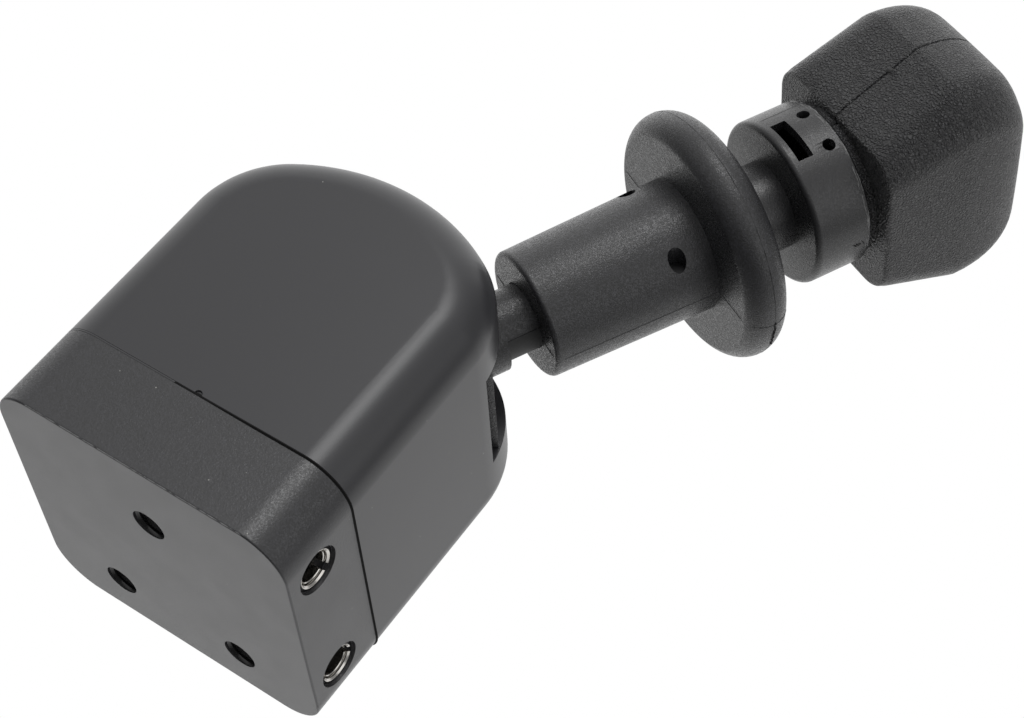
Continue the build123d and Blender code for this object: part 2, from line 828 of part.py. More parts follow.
def make_stem():
    """Turned stem: thick below, stepped above, bored for the latch rod and slotted for the link pin."""
    stem = Pos(0, 0, socket_bottom) * extrude(Circle(stem_radius), stem_step - socket_bottom)
    stem += Pos(0, 0, stem_step) * extrude(Circle(stem_upper_radius), stem_shoulder - stem_step)
    thread = extrude(Circle(stem_thread_radius), stem_top - stem_shoulder)
    stem += Pos(0, 0, stem_shoulder) * thread
    stem -= Pos(0, 0, socket_bottom) * extrude(Circle(rod_bore), rod_bore_top - socket_bottom)
    low = link_pin_reach - latch_drop - link_pin_radius - seat_gap
    high = link_pin_reach + collar_lift + link_pin_radius + seat_gap
    slot = Box(2 * (link_pin_radius + ride_gap), 4 * stem_radius, high - low)
    return on_lever(stem - Pos(0, 0, (low + high) / 2) * slot)


def make_latch_rod():
    """Rod inside the stem that joins the collar to the latch pin."""
    low = latch_reach - latch_pin_radius - rod_end
    high = link_pin_reach + link_pin_radius + rod_end
    rod = Pos(0, 0, low) * extrude(Circle(rod_radius), high - low)
    rod = chamfer(rod.edges(), rod_chamfer)
    rod -= Pos(0, 0, latch_reach) * rod_y(latch_pin_radius + press_gap, 4 * rod_radius)
    rod -= Pos(0, 0, link_pin_reach) * rod_y(link_pin_radius + press_gap, 4 * rod_radius)
    return on_lever(rod)


def make_latch_pin():
    """Cross pin that drops into the gate pockets."""
    length = 2 * (gate_outer_face + latch_pin_overhang)
    pin = chamfer(rod_y(latch_pin_radius, length).edges(), rod_chamfer)
    return on_lever(Pos(0, 0, latch_reach) * pin)


def make_link_pin():
    """Cross pin between collar bush and latch rod."""
    length = 2 * (collar_bore_radius - link_pin_end_gap)
    return on_lever(Pos(0, 0, link_pin_reach) * rod_y(link_pin_radius, length))


def make_collar_bush():
    """Bush inside the collar, grooved for the collar pins."""
    bush = ring_solid(collar_bore_radius - ride_gap, stem_upper_radius + ride_gap, bush_top - bush_bottom)
    groove_height = 2 * (collar_pin_radius + slide_gap)
    groove_root = collar_bore_radius - collar_pin_radius - slide_gap
    groove = ring_solid(collar_bore_radius + cutter_over, groove_root, groove_height)
    bush = Pos(0, 0, bush_bottom) * bush - Pos(0, 0, collar_pin_reach - groove_height / 2) * groove
    bush -= Pos(0, 0, link_pin_reach) * rod_y(link_pin_radius + press_gap, 4 * collar_bore_radius)
    return on_lever(bush)


def collar_pin_pair(radius, length):
    """Two rods parallel to the pivot, one each side of the stem at the collar bush."""
    rod = Pos(0, 0, collar_pin_reach) * rod_y(radius, length)
    return [Pos(side * collar_bore_radius, 0, 0) * rod for side in (-1, 1)]


def make_collar_pins():
    """Pins that hold the bush in the collar."""
    return [on_lever(pin) for pin in collar_pin_pair(collar_pin_radius, collar_pin_length)]


def flange_join():
    """Point where the flange's small rim arc runs into the long arc over its top."""
    reach = flange_radius - flange_face_radius
    rim = (reach**2 + (flange_crest - flange_bottom) ** 2) / (2 * reach)
    across = flange_radius - rim - flange_top_radius
    rise = flange_top - flange_crest
    long_arc = (across**2 + rise**2 - rim**2) / (2 * (rise - rim))
    angle = atan2(across, long_arc - rise)
    return (flange_radius - rim + rim * sin(angle), flange_crest + rim * cos(angle))


def make_collar():
    """Collar: slightly tapered sleeve with a round-edged finger flange, revolved about the lever."""
    slope = (sleeve_top_radius - sleeve_bottom_radius) / (flange_bottom - sleeve_bottom)
    edge = sleeve_edge_round
    start = (sleeve_bottom_radius - edge, sleeve_bottom)
    side = (sleeve_bottom_radius + slope * edge, sleeve_bottom + edge)
    outline = Line((0, sleeve_bottom), start)
    outline += TangentArc(start, side, tangent=(1, 0))
    outline += Polyline(side, (sleeve_top_radius, flange_bottom), (flange_face_radius, flange_bottom))
    lower = (flange_face_radius, flange_bottom)
    crest = (flange_radius, flange_crest)
    join = flange_join()
    shoulder = (flange_top_radius, flange_top)
    outline += TangentArc(crest, lower, tangent=(0, -1))
    outline += TangentArc(crest, join, tangent=(0, 1))
    outline += TangentArc(shoulder, join, tangent=(1, 0))
    outline += Polyline(shoulder, (0, flange_top), (0, sleeve_bottom))
    collar = revolve(make_face(Plane.XZ * outline), Axis.Z)
    guide_top = sleeve_bottom + guide_length
    collar -= Pos(0, 0, sleeve_bottom) * extrude(Circle(stem_radius + ride_gap), guide_length)
    collar -= Pos(0, 0, guide_top) * extrude(Circle(collar_bore_radius), flange_top)
    for hole in collar_pin_pair(collar_pin_hole, 4 * sleeve_top_radius):
        collar -= hole
    return on_lever(collar)


def make_collar_spring():
    """Spring that presses the collar down."""
    mean = stem_upper_radius + collar_spring_gap + collar_spring_wire / 2
    return on_lever(spring(mean, collar_spring_wire, collar_spring_turns, bush_top, spring_stop))


def make_knob_base():
    """Neck and hollow ring under the knob, with the window and two holes in the ring."""
    neck = Pos(0, 0, neck_bottom) * extrude(Circle(neck_radius), ring_bottom - neck_bottom)
    ring = Pos(0, 0, ring_bottom) * extrude(Circle(ring_radius), ring_top - ring_bottom)
    ring = fillet(ring.edges().group_by(Axis.Z)[0], ring_edge_round)
    ring = chamfer(ring.edges().group_by(Axis.Z)[-1], ring_rim_chamfer)
    base = neck + ring
    base -= Pos(0, 0, neck_bottom) * extrude(Circle(neck_bore), spring_stop - neck_bottom)
    stem_hole = Circle(stem_upper_radius + slide_gap)
    base -= Pos(0, 0, neck_bottom) * extrude(stem_hole, stem_shoulder - neck_bottom)
    thread_hole = extrude(Circle(stem_thread_radius + slide_gap), ring_floor + cutter_over)
    base -= Pos(0, 0, stem_shoulder) * thread_hole
    hollow = Circle(ring_radius - ring_wall)
    base -= Pos(0, 0, ring_bottom + ring_floor) * extrude(hollow, ring_top)
    base -= window_cutter()
    for side in (-1, 1):
        angle = -90 + side * ring_hole_angle
        hole = Pos(ring_radius, 0, ring_hole_reach) * rod_x(ring_hole_radius, 3 * ring_wall)
        base -= Rot(0, 0, angle) * hole
    return on_lever(base)


def window_cutter():
    """Block that cuts the window through the ring's wall on its -Y side."""
    half = radians(window_half_angle)
    width = 2 * ring_radius * sin(half)
    low = ring_bottom + ring_floor + window_clear
    depth = 2 * ring_wall
    return Pos(0, -ring_radius, low + window_height / 2) * Box(width, 2 * depth, window_height)


def make_stem_nut():
    """Nut that clamps the knob base on the stem's shoulder."""
    low = ring_bottom + ring_floor
    nut = extrude(RegularPolygon(nut_radius, 6) - Circle(stem_thread_radius + press_gap), nut_height)
    return on_lever(Pos(0, 0, low) * nut)


def knob_section(height, half_u, half_y, corner, bow):
    """Section across the lever axis: a rectangle with round corners and four sides bowed outward."""
    u = half_u - bow
    y = half_y - bow
    outline = ThreePointArc((u, -y), (half_u, 0), (u, y))
    outline += ThreePointArc((u, y), (0, half_y), (-u, y))
    outline += ThreePointArc((-u, y), (-half_u, 0), (-u, -y))
    outline += ThreePointArc((-u, -y), (0, -half_y), (u, -y))
    face = make_face(outline)
    return Pos(0, 0, height) * fillet(face.vertices(), corner)


def knob_flare(height, foot, belly):
    """Size of the knob between foot and belly: it widens quickly at first, then settles at the belly."""
    share = (knob_belly - height) / (knob_belly - knob_bottom)
    return belly - (belly - foot) * share**knob_swell


def knob_outside():
    """Outer form of the knob: flares from the foot to the belly, then rounds over to the crown."""
    sections = []
    for step in range(flare_steps):
        height = knob_bottom + (knob_belly - knob_bottom) * step / flare_steps
        half_u = knob_flare(height, knob_foot_u, knob_belly_u)
        half_y = knob_flare(height, knob_foot_y, knob_belly_y)
        corner = knob_flare(height, knob_foot_round, knob_belly_round)
        bow = knob_flare(height, knob_foot_bow, knob_belly_bow)
        sections.append(knob_section(height, half_u, half_y, corner, bow))
    for angle in range(0, 90 + crown_step, crown_step):
        turn = radians(angle)
        height = knob_belly + (knob_top - knob_belly) * sin(turn) ** (2 / knob_swell)
        draw = knob_crown_draw * (1 - cos(turn))
        corner = knob_belly_round - knob_crown_sharpen * draw
        bow = knob_belly_bow * cos(turn / 2)
        sections.append(knob_section(height, knob_belly_u - draw, knob_belly_y - draw, corner, bow))
    return loft(sections)


def knob_cavity():
    """Space inside the two halves, with straight drafted walls."""
    foot_round = knob_foot_round - knob_wall
    belly_round = knob_belly_round - knob_wall
    foot = RectangleRounded(2 * (knob_foot_u - knob_wall), 2 * (knob_foot_y - knob_wall), foot_round)
    belly_u = knob_belly_u - knob_belly_wall
    belly_y = knob_belly_y - knob_belly_wall
    belly = RectangleRounded(2 * belly_u, 2 * belly_y, belly_round)
    roof_u = knob_belly_u - knob_wall - knob_roof_draw
    roof_y = knob_belly_y - knob_wall - knob_roof_draw
    roof = RectangleRounded(2 * roof_u, 2 * roof_y, belly_round)
    levels = [(knob_bottom + knob_wall, foot), (knob_belly, belly), (knob_top - knob_roof, roof)]
    return loft([Pos(0, 0, height) * face for height, face in levels], ruled=True)


def make_knob_halves():
    """Hollow knob in two halves that meet on the plane through the lever and the pivot."""
    knob = knob_outside()
    knob += Pos(0, 0, ring_top) * extrude(Circle(spigot_radius), knob_bottom - ring_top + cutter_over)
    knob -= knob_cavity()
    core_hole = core_radius + press_gap
    knob -= Pos(0, 0, ring_top - cutter_over) * extrude(Circle(core_hole), core_head - ring_top)
    pocket_radius = core_flange_radius + core_pocket_wall
    knob += Pos(0, 0, knob_bottom) * ring_solid(pocket_radius, core_hole, knob_wall + core_flange)
    slot_z = knob_bottom + knob_wall - core_flange / 2
    slot_height = core_flange + 2 * press_gap
    knob -= Pos(0, 0, slot_z) * extrude(Circle(core_flange_radius + press_gap), slot_height)
    side = 4 * knob_belly_y
    front = knob & Pos(side / 2, 0, knob_belly) * Box(side, side, side)
    rear = knob & Pos(-side / 2, 0, knob_belly) * Box(side, side, side)
    return on_lever(front), on_lever(rear)


def make_knob_core():
    """Threaded core that the halves close around."""
    tube = ring_solid(core_radius, stem_thread_radius + press_gap, core_head - ring_top)
    core = Pos(0, 0, ring_top) * tube
    flange_z = knob_bottom + knob_wall - core_flange / 2 + press_gap
    core += Pos(0, 0, flange_z) * ring_solid(core_flange_radius, core_radius, core_flange)
    return on_lever(core)


def collect():
    """Build every piece under its own name."""
    parts["port_block"] = make_port_block()
    parts["housing_cover"] = make_cover()
    parts["cover_gasket"] = make_gasket()
    parts["port_collets"] = make_collets()
    parts["port_seals"] = make_port_seals()
    parts["valve_seat"] = make_valve_seat()
    parts["inlet_valve"] = make_inlet_valve()
    parts["valve_rubber"] = make_valve_rubber()
    parts["valve_spring"] = make_valve_spring()
    parts["control_piston"] = make_piston()
    parts["piston_ring"] = make_piston_ring()
    parts["cam_follower"] = make_follower()
    parts["graduating_spring"] = make_grad_spring()
    parts["bearing_bracket"] = make_bracket()
    parts["bracket_screws"] = make_bracket_screws()
    parts["latch_gates"] = make_gates()
    parts["gate_rivets"] = make_rivets()
    parts["pivot_pin"] = make_pivot_pin()
    parts["pin_clips"] = make_pin_clips()
    parts["stop_bars"] = make_stop_bars()
    parts["stop_buffers"] = make_stop_buffers()
    parts["lever_hub"] = make_hub()
    parts["slot_shield"] = make_shield()
    parts["hub_bushes"] = make_hub_bushes()
    parts["brake_cam"] = make_cam()
    parts["cam_pin"] = make_cam_pin()
    parts["stem_grub_screw"] = make_grub_screw()
    parts["lever_stem"] = make_stem()
    parts["knob_base"] = make_knob_base()
    parts["stem_nut"] = make_stem_nut()
    parts["knob_core"] = make_knob_core()
    parts["knob_front_half"], parts["knob_rear_half"] = make_knob_halves()
    parts["collar_sleeve"] = make_collar()
    parts["collar_bush"] = make_collar_bush()
    parts["collar_pins"] = make_collar_pins()
    parts["link_pin"] = make_link_pin()
    parts["latch_rod"] = make_latch_rod()
    parts["latch_pin"] = make_latch_pin()
    parts["collar_spring"] = make_collar_spring()


def write():
    """Write one STEP file per piece."""
    os.makedirs("parts", exist_ok=True)
    for name, shape in parts.items():
        solids = shape if isinstance(shape, list) else [shape]
        flat = [solid for item in solids for solid in item.solids()]
        body = flat[0] if len(flat) == 1 else Compound(children=flat)
        export_step(body, f"parts/{name}.step")


collect()
write()
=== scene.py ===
import json
import math
import random

import bmesh
import bpy
from mathutils import Matrix, Vector
from mathutils.bvhtree import BVHTree


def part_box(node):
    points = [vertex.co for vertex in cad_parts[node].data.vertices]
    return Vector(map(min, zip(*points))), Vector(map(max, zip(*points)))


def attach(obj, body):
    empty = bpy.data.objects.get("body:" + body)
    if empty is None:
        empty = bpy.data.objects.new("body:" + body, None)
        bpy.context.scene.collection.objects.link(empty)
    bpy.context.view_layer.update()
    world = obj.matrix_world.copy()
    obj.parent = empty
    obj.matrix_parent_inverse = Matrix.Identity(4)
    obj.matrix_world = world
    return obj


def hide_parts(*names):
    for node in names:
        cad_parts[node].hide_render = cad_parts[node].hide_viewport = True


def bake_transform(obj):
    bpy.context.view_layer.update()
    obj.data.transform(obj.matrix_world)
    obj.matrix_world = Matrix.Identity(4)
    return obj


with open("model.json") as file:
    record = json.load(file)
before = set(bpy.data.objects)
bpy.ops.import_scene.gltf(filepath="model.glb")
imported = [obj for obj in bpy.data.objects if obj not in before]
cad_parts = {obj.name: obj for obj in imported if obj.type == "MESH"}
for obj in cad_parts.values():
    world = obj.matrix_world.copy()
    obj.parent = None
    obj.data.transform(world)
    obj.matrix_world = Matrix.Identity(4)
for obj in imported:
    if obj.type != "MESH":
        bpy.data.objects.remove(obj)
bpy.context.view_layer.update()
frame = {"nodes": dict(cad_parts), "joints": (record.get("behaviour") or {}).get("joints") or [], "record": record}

mm = 0.001    # in metres
nodes = frame["nodes"]
joints = {joint["name"]: joint for joint in frame["joints"]}
print("stage: frame loaded,", len(nodes), "nodes")

# The lever's own axes: x across it, y along the pivot, z up the stem from the pivot, in millimetres
pivot = Vector(joints["lever_swing"]["pos_m"])
stemAxis = Vector(joints["collar_lift"]["axis"])
leverFrame = (
    Matrix.Translation(pivot)
    @ Matrix.Rotation(math.atan2(stemAxis.x, stemAxis.z), 4, "Y")
    @ Matrix.Scale(mm, 4)
)


# An sRGB hex value as the linear colour that a node works in
def linearColour(hexCode):
    channels = [int(hexCode[i:i + 2], 16) / 255 for i in (1, 3, 5)]
    return tuple(c / 12.92 if c <= 0.04045 else ((c + 0.055) / 1.055) ** 2.4 for c in channels) + (1.0,)


# Adds a node: settings are its own or its sockets' values, and links join its sockets to others' outputs
def addNode(material, kind, settings=None, links=None):
    node = material.node_tree.nodes.new(kind)
    for name, value in (settings or {}).items():
        if isinstance(name, str) and hasattr(node, name):
            setattr(node, name, value)
        else:
            node.inputs[name].default_value = value
    for name, socket in (links or {}).items():
        material.node_tree.links.new(socket, node.inputs[name])
    return node


def startMaterial(name):
    material = bpy.data.materials.new(name)
    material.use_nodes = True
    material.node_tree.nodes.clear()
    return material


# Every pattern is drawn by the place on the piece, in metres
def startFinish(name):
    material = startMaterial(name)
    return material, addNode(material, "ShaderNodeTexCoord").outputs["Object"]


# Specks of pale dust on a surface: a quarter of a millimetre across, and at most one every few millimetres
dustLook = {"colour": "#8c8b88", "gapMm": 4.0, "radiusMm": 0.14}


def dusted(material, place, colour, share):
    gap, radius = dustLook["gapMm"], dustLook["radiusMm"]
    cells = addNode(material, "ShaderNodeTexVoronoi", {"Scale": 1 / (gap * mm)}, {"Vector": place})
    near = addNode(material, "ShaderNodeMath", {"operation": "LESS_THAN", 1: radius / gap}, {
        0: cells.outputs["Distance"]})
    draw = addNode(material, "ShaderNodeSeparateXYZ", None, {"Vector": cells.outputs["Color"]})
    chosen = addNode(material, "ShaderNodeMath", {"operation": "LESS_THAN", 1: share}, {
        0: draw.outputs["X"]})
    both = addNode(material, "ShaderNodeMath", {"operation": "MULTIPLY"}, {
        0: near.outputs[0], 1: chosen.outputs[0]})
    return addNode(material, "ShaderNodeMix", {"data_type": "RGBA", 7: linearColour(dustLook["colour"])}, {
        0: both.outputs[0], 6: colour}).outputs[2]


# Ends a finish: one pattern tints it from dark to light, one is its roughness and one its relief
def endFinish(material, place, look, settings, tint, gloss, height):
    colour = addNode(material, "ShaderNodeMix", {
        "data_type": "RGBA", 6: linearColour(look["dark"]), 7: linearColour(look["light"])}, {
        0: tint}).outputs[2]
    if "dustShare" in look:
        colour = dusted(material, place, colour, look["dustShare"])
    relief = addNode(material, "ShaderNodeBump", {
        "Strength": look["bump"], "Distance": look["depthMm"] * mm}, {"Height": height})
    shader = addNode(material, "ShaderNodeBsdfPrincipled", settings, {
        "Base Color": colour, "Roughness": gloss, "Normal": relief.outputs[0]})
    addNode(material, "ShaderNodeOutputMaterial", None, {"Surface": shader.outputs[0]})
    return material


# How grained a face is: fully where it looks one way, and not at all where it looks well away from that,
# because the sides of a mould are grained one by one
def grainedFaces(material, look):
    facing = addNode(material, "ShaderNodeNewGeometry").outputs["Normal"]
    grained = addNode(material, "ShaderNodeVectorMath", {
        "operation": "DOT_PRODUCT", 1: look["grainedTo"]}, {0: facing})
    return addNode(material, "ShaderNodeMapRange", {
        "From Min": look["grainedFrom"], "From Max": look["grainedFull"]}, {
        "Value": grained.outputs["Value"]}).outputs[0]


# Moulded plastic with a spark-eroded grain: each pit throws the light its own way, so that highlights break
# up into fine specks. Real pits are a tenth of a millimetre wide, too fine to show, and are drawn about 2.5
# times as wide. The glossy specks are also tinted lighter: painted glints, beside the real ones that their low
# roughness makes. A slow cloud stands in for them where the face isn't grained
def grainedPlastic(name, look):
    material, place = startFinish(name)
    grain = addNode(material, "ShaderNodeTexNoise", {
        "Scale": 1 / (look["grainMm"] * mm), "Detail": 3.0, "Roughness": 0.6}, {"Vector": place})
    cloud = addNode(material, "ShaderNodeTexNoise", {
        "Scale": 1 / (look["cloudMm"] * mm), "Detail": 4.0, "Roughness": 0.55}, {"Vector": place})
    pits = addNode(material, "ShaderNodeTexVoronoi", {"Scale": 1 / (look["speckMm"] * mm)}, {
        "Vector": place})
    draw = addNode(material, "ShaderNodeSeparateXYZ", None, {"Vector": pits.outputs["Color"]})
    glints = addNode(material, "ShaderNodeMath", {"operation": "POWER", 1: look["speckPower"]}, {
        0: draw.outputs["X"]})
    share = addNode(material, "ShaderNodeMath", {"operation": "MULTIPLY", 1: look["speckShare"]}, {
        0: grainedFaces(material, look)})
    calm = addNode(material, "ShaderNodeMapRange", {"To Min": 0.3, "To Max": 0.7}, {
        "Value": cloud.outputs["Fac"]})
    # mottle tints the colour and sets the roughness: its pale glossy specks are painted glints
    mottle = addNode(material, "ShaderNodeMix", {"data_type": "FLOAT"}, {
        0: share.outputs[0], 2: calm.outputs[0], 3: glints.outputs[0]})
    gloss = addNode(material, "ShaderNodeMapRange", {
        "To Min": look["roughHigh"], "To Max": look["roughLow"]}, {"Value": mottle.outputs[0]})
    return endFinish(material, place, look, {"IOR": look["ior"]},
                     mottle.outputs[0], gloss.outputs[0], grain.outputs["Fac"])


# Soft PVC skin moulded with a leather grain: small pebbled cells between thin creases, a low even sheen, and
# painted shade that darkens the colour into the creases
def leatherGrain(name, look):
    material, place = startFinish(name)
    drift = addNode(material, "ShaderNodeTexNoise", {
        "Scale": 1 / (look["driftMm"] * mm), "Detail": 2.0}, {"Vector": place})
    bent = addNode(material, "ShaderNodeMix", {"data_type": "VECTOR", 0: look["driftShare"]}, {
        4: place, 5: drift.outputs["Color"]})
    cells = addNode(material, "ShaderNodeTexVoronoi", {
        "feature": "DISTANCE_TO_EDGE", "Scale": 1 / (look["cellMm"] * mm)}, {"Vector": bent.outputs[1]})
    crease = addNode(material, "ShaderNodeMapRange", {
        "From Max": look["creaseShare"], "interpolation_type": "SMOOTHSTEP"}, {
        "Value": cells.outputs["Distance"]})
    fine = addNode(material, "ShaderNodeTexNoise", {
        "Scale": 1 / (look["fineMm"] * mm), "Detail": 3.0, "Roughness": 0.6}, {"Vector": place})
    height = addNode(material, "ShaderNodeMath", {"operation": "MULTIPLY_ADD", 1: look["fineShare"]}, {
        0: fine.outputs["Fac"], 2: crease.outputs[0]})
    gloss = addNode(material, "ShaderNodeMapRange", {
        "From Min": 0.3, "From Max": 0.7, "To Min": look["roughLow"], "To Max": look["roughHigh"]},
        {"Value": drift.outputs["Fac"]})
    # The crease pattern tints the colour, darker at the creases: painted shade in them
    return endFinish(material, place, look, {"IOR": look["ior"]},
                     crease.outputs[0], gloss.outputs[0], height.outputs[0])


# Metal with fine turning or drawing marks: a bright base whose roughness wanders along the marks. markMm is
# their length, and stretch sets them closer together along one axis
def workedMetal(name, look):
    material, place = startFinish(name)
    stretch = addNode(material, "ShaderNodeMapping", {"Scale": look["stretch"]}, {"Vector": place})
    marks = addNode(material, "ShaderNodeTexNoise", {
        "Scale": 1 / (look["markMm"] * mm), "Detail": 4.0, "Roughness": 0.65},
        {"Vector": stretch.outputs[0]})
    gloss = addNode(material, "ShaderNodeMapRange", {
        "From Min": 0.3, "From Max": 0.7, "To Min": look["roughLow"], "To Max": look["roughHigh"]},
        {"Value": marks.outputs["Fac"]})
    return endFinish(material, place, look, {"Metallic": look["metallic"]},
                     marks.outputs["Fac"], gloss.outputs[0], marks.outputs["Fac"])


# What each plastic has unless its own look says otherwise: faint specks, and grain all over
plainMould = {"speckMm": 0.3, "speckShare": 0.3, "speckPower": 1.0,
              "grainedTo": (0, 0, 0), "grainedFrom": -1.0, "grainedFull": -0.5}
plasticLooks = {
    # glass-filled nylon, spark-eroded mould: specks a quarter of a millimetre apart on the front,
    #     # tinted pale as painted glints
    "grainedNylonBlock": {"dark": "#202021", "light": "#3b3b3e", "grainMm": 0.36, "depthMm": 0.05,
                          "speckMm": 0.25, "speckShare": 0.8, "speckPower": 2.0, "dustShare": 0.4,
                          "cloudMm": 9.0, "grainedTo": (0, -1, 0), "grainedFrom": 0.15, "grainedFull": 0.6,
                          "bump": 1.0, "roughLow": 0.20, "roughHigh": 0.44, "ior": 1.53},
    # ABS from a satin mould: almost smooth, with broad soft highlights along the round edges
    "satinAbsCover": {"dark": "#2b2b2d", "light": "#323235", "grainMm": 0.20, "depthMm": 0.03,
                      "speckMm": 0.25, "speckShare": 0.12, "dustShare": 0.35, "cloudMm": 14.0,
                      "bump": 0.3, "roughLow": 0.30, "roughHigh": 0.36, "ior": 1.52},
    # nylon lever mouldings: a deeper open grain that sparkles on the round sleeve, its specks tinted
    #     # pale as painted glints
    "grainedNylonLever": {"dark": "#1d1d1e", "light": "#363639", "grainMm": 0.30, "depthMm": 0.09,
                          "speckMm": 0.25, "speckShare": 1.0, "speckPower": 2.0, "cloudMm": 7.0,
                          "bump": 1.0, "roughLow": 0.10, "roughHigh": 0.42, "ior": 1.53},
    # nylon ring under the knob, from a smoother mould: darker, with a clear soft shine
    "satinNylonRing": {"dark": "#19191a", "light": "#2f2f31", "grainMm": 0.30, "depthMm": 0.06,
                       "speckMm": 0.25, "speckShare": 0.8, "speckPower": 2.0, "cloudMm": 7.0,
                       "bump": 1.0, "roughLow": 0.14, "roughHigh": 0.38, "ior": 1.55},
    # nylon coating on the steel stem and hub: a little darker than the mouldings, with the same sparkle
    #     # and the same painted glints
    "coatedSteelStem": {"dark": "#181819", "light": "#313134", "grainMm": 0.30, "depthMm": 0.07,
                        "speckMm": 0.25, "speckShare": 1.0, "speckPower": 2.0, "cloudMm": 6.0,
                        "bump": 1.0, "roughLow": 0.10, "roughHigh": 0.44, "ior": 1.5},
    # thin flash of nylon where mould halves met: duller than the face beside it, and darker as painted shade
    "mouldFlashShade": {"dark": "#0d0d0e", "light": "#161617", "grainMm": 0.3, "depthMm": 0.02,
                   "cloudMm": 3.0, "bump": 0.4, "roughLow": 0.5, "roughHigh": 0.62, "ior": 1.53},
    # nylon rubbed bare by handling: the filler shows pale grey, which also paints the highlight that scratched
    #     # edges catch
    "rubbedNylonHighlight": {"dark": "#505051", "light": "#9a9a9a", "grainMm": 0.3, "depthMm": 0.02,
                    "cloudMm": 0.9, "bump": 0.4, "roughLow": 0.35, "roughHigh": 0.5, "ior": 1.53},
    # nylon cut by a tap: glossy on the flanks, and darker than the block as painted shade in the hole
    "tappedNylonShade": {"dark": "#131314", "light": "#1d1d1e", "grainMm": 0.4, "depthMm": 0.01,
                    "cloudMm": 3.0, "bump": 0.3, "roughLow": 0.22, "roughHigh": 0.34, "ior": 1.53},
    # acetal, turned or moulded: milky and slightly waxy
    "naturalAcetal": {"dark": "#d8d4c8", "light": "#e4e1d8", "grainMm": 0.5, "depthMm": 0.01,
                      "cloudMm": 5.0, "bump": 0.2, "roughLow": 0.38, "roughHigh": 0.48, "ior": 1.48},
    # nitrile rubber: dead matt and near black, its IOR set low so that the lip painting the seam's shadow stays
    # dark
    "nitrileRubber": {"dark": "#060606", "light": "#0c0c0c", "grainMm": 0.3, "depthMm": 0.02,
                      "cloudMm": 4.0, "bump": 0.4, "roughLow": 0.75, "roughHigh": 0.88, "ior": 1.3},
}
# Leather grain of the knob: cells 0.7 mm across, bent by a slow drift so that they don't line up; its dark
# end is the painted shade in the creases
leatherLook = {"dark": "#222223", "light": "#38383a", "cellMm": 0.70, "creaseShare": 0.32, "fineMm": 0.40,
               "fineShare": 1.0, "driftMm": 1.4, "driftShare": 0.0012, "depthMm": 0.27,
               "bump": 1.0, "roughLow": 0.26, "roughHigh": 0.33, "ior": 1.5}
# What each metal has unless its own look says otherwise
plainMetal = {"metallic": 1.0, "bump": 0.3}
metalLooks = {
    # nickel plate over turned brass: bright, with hairline rings
    "nickelPlate": {"dark": "#b3b0ab", "light": "#e6e3de", "markMm": 0.3, "depthMm": 0.004,
                    "stretch": (6.0, 1.0, 1.0), "roughLow": 0.14, "roughHigh": 0.26},
    # zinc plated pressed steel: greyish, with the plating's millimetre clouds in place of marks
    "zincSteel": {"dark": "#8d9094", "light": "#b4b6b8", "markMm": 1.2, "depthMm": 0.01,
                  "stretch": (1.0, 1.0, 1.0), "roughLow": 0.30, "roughHigh": 0.45},
    # centreless ground steel: fine marks round the pin
    "groundSteel": {"dark": "#8c8c8e", "light": "#b8b8ba", "markMm": 0.25, "depthMm": 0.004,
                    "stretch": (1.0, 8.0, 1.0), "roughLow": 0.20, "roughHigh": 0.32},
    # steel pin painted near black as the shade deep in its hole: its end shows as a near black dot there
    "pinPaintedShade": {"dark": "#0e0e0f", "light": "#1b1b1d", "markMm": 0.4, "depthMm": 0.004,
                     "stretch": (1.0, 1.0, 1.0), "metallic": 0.6, "roughLow": 0.40, "roughHigh": 0.55},
    # drawn spring wire, oiled: dark steel with a lengthways pull
    "springWire": {"dark": "#5e5e61", "light": "#8a8a8d", "markMm": 0.3, "depthMm": 0.005,
                   "stretch": (1.0, 1.0, 5.0), "roughLow": 0.24, "roughHigh": 0.36},
    # turned aluminium: pale with turning rings
    "turnedAluminium": {"dark": "#a9abad", "light": "#d0d2d3", "markMm": 0.3, "depthMm": 0.006,
                        "stretch": (1.0, 1.0, 8.0), "roughLow": 0.26, "roughHigh": 0.4},
    # turned brass: warm yellow with turning rings
    "turnedBrass": {"dark": "#b08d45", "light": "#d6b566", "markMm": 0.3, "depthMm": 0.006,
                    "stretch": (1.0, 1.0, 8.0), "roughLow": 0.22, "roughHigh": 0.36},
}
finishes = {name: grainedPlastic(name, {**plainMould, **look}) for name, look in plasticLooks.items()}
finishes.update({name: workedMetal(name, {**plainMetal, **look}) for name, look in metalLooks.items()})
finishes["leatherGrainSkin"] = leatherGrain("leatherGrainSkin", leatherLook)
print("stage: materials,", len(finishes))

# Which finish each slot of the record gets
slotFinish = {
    "block_plastic": "grainedNylonBlock",
    "cover_plastic": "satinAbsCover",
    "lever_plastic": "grainedNylonLever",
    "knob_skin": "leatherGrainSkin",
    "black_metal": "coatedSteelStem",
    "shield_plastic": "grainedNylonLever",
    "nickel_plate": "nickelPlate",
    "zinc_steel": "zincSteel",
    "ground_steel": "groundSteel",
    "spring_steel": "springWire",
    "cast_aluminium": "turnedAluminium",
    "valve_brass": "turnedBrass",
    "acetal": "naturalAcetal",
    "seal_rubber": "nitrileRubber",
    "gasket_rubber": "nitrileRubber",
}
# Nodes whose finish differs from their slot's
# the collar pins are painted near black, as shade in their holes
nodeFinish = {"collar_pins": "pinPaintedShade", "knob_base": "satinNylonRing"}

# Small rounds on the edges seen close up, in millimetres; the other nodes keep their edges sharp
edgeBreakMm = {"port_block": 0.2, "housing_cover": 0.15, "slot_shield": 0.15, "lever_hub": 0.25,
               "lever_stem": 0.2, "knob_base": 0.18}
nodeEdges = {"weldMm": 0.001, "flatWithin": 0.3, "breakFrom": 35, "breakSegments": 2, "sharpFrom": 32}


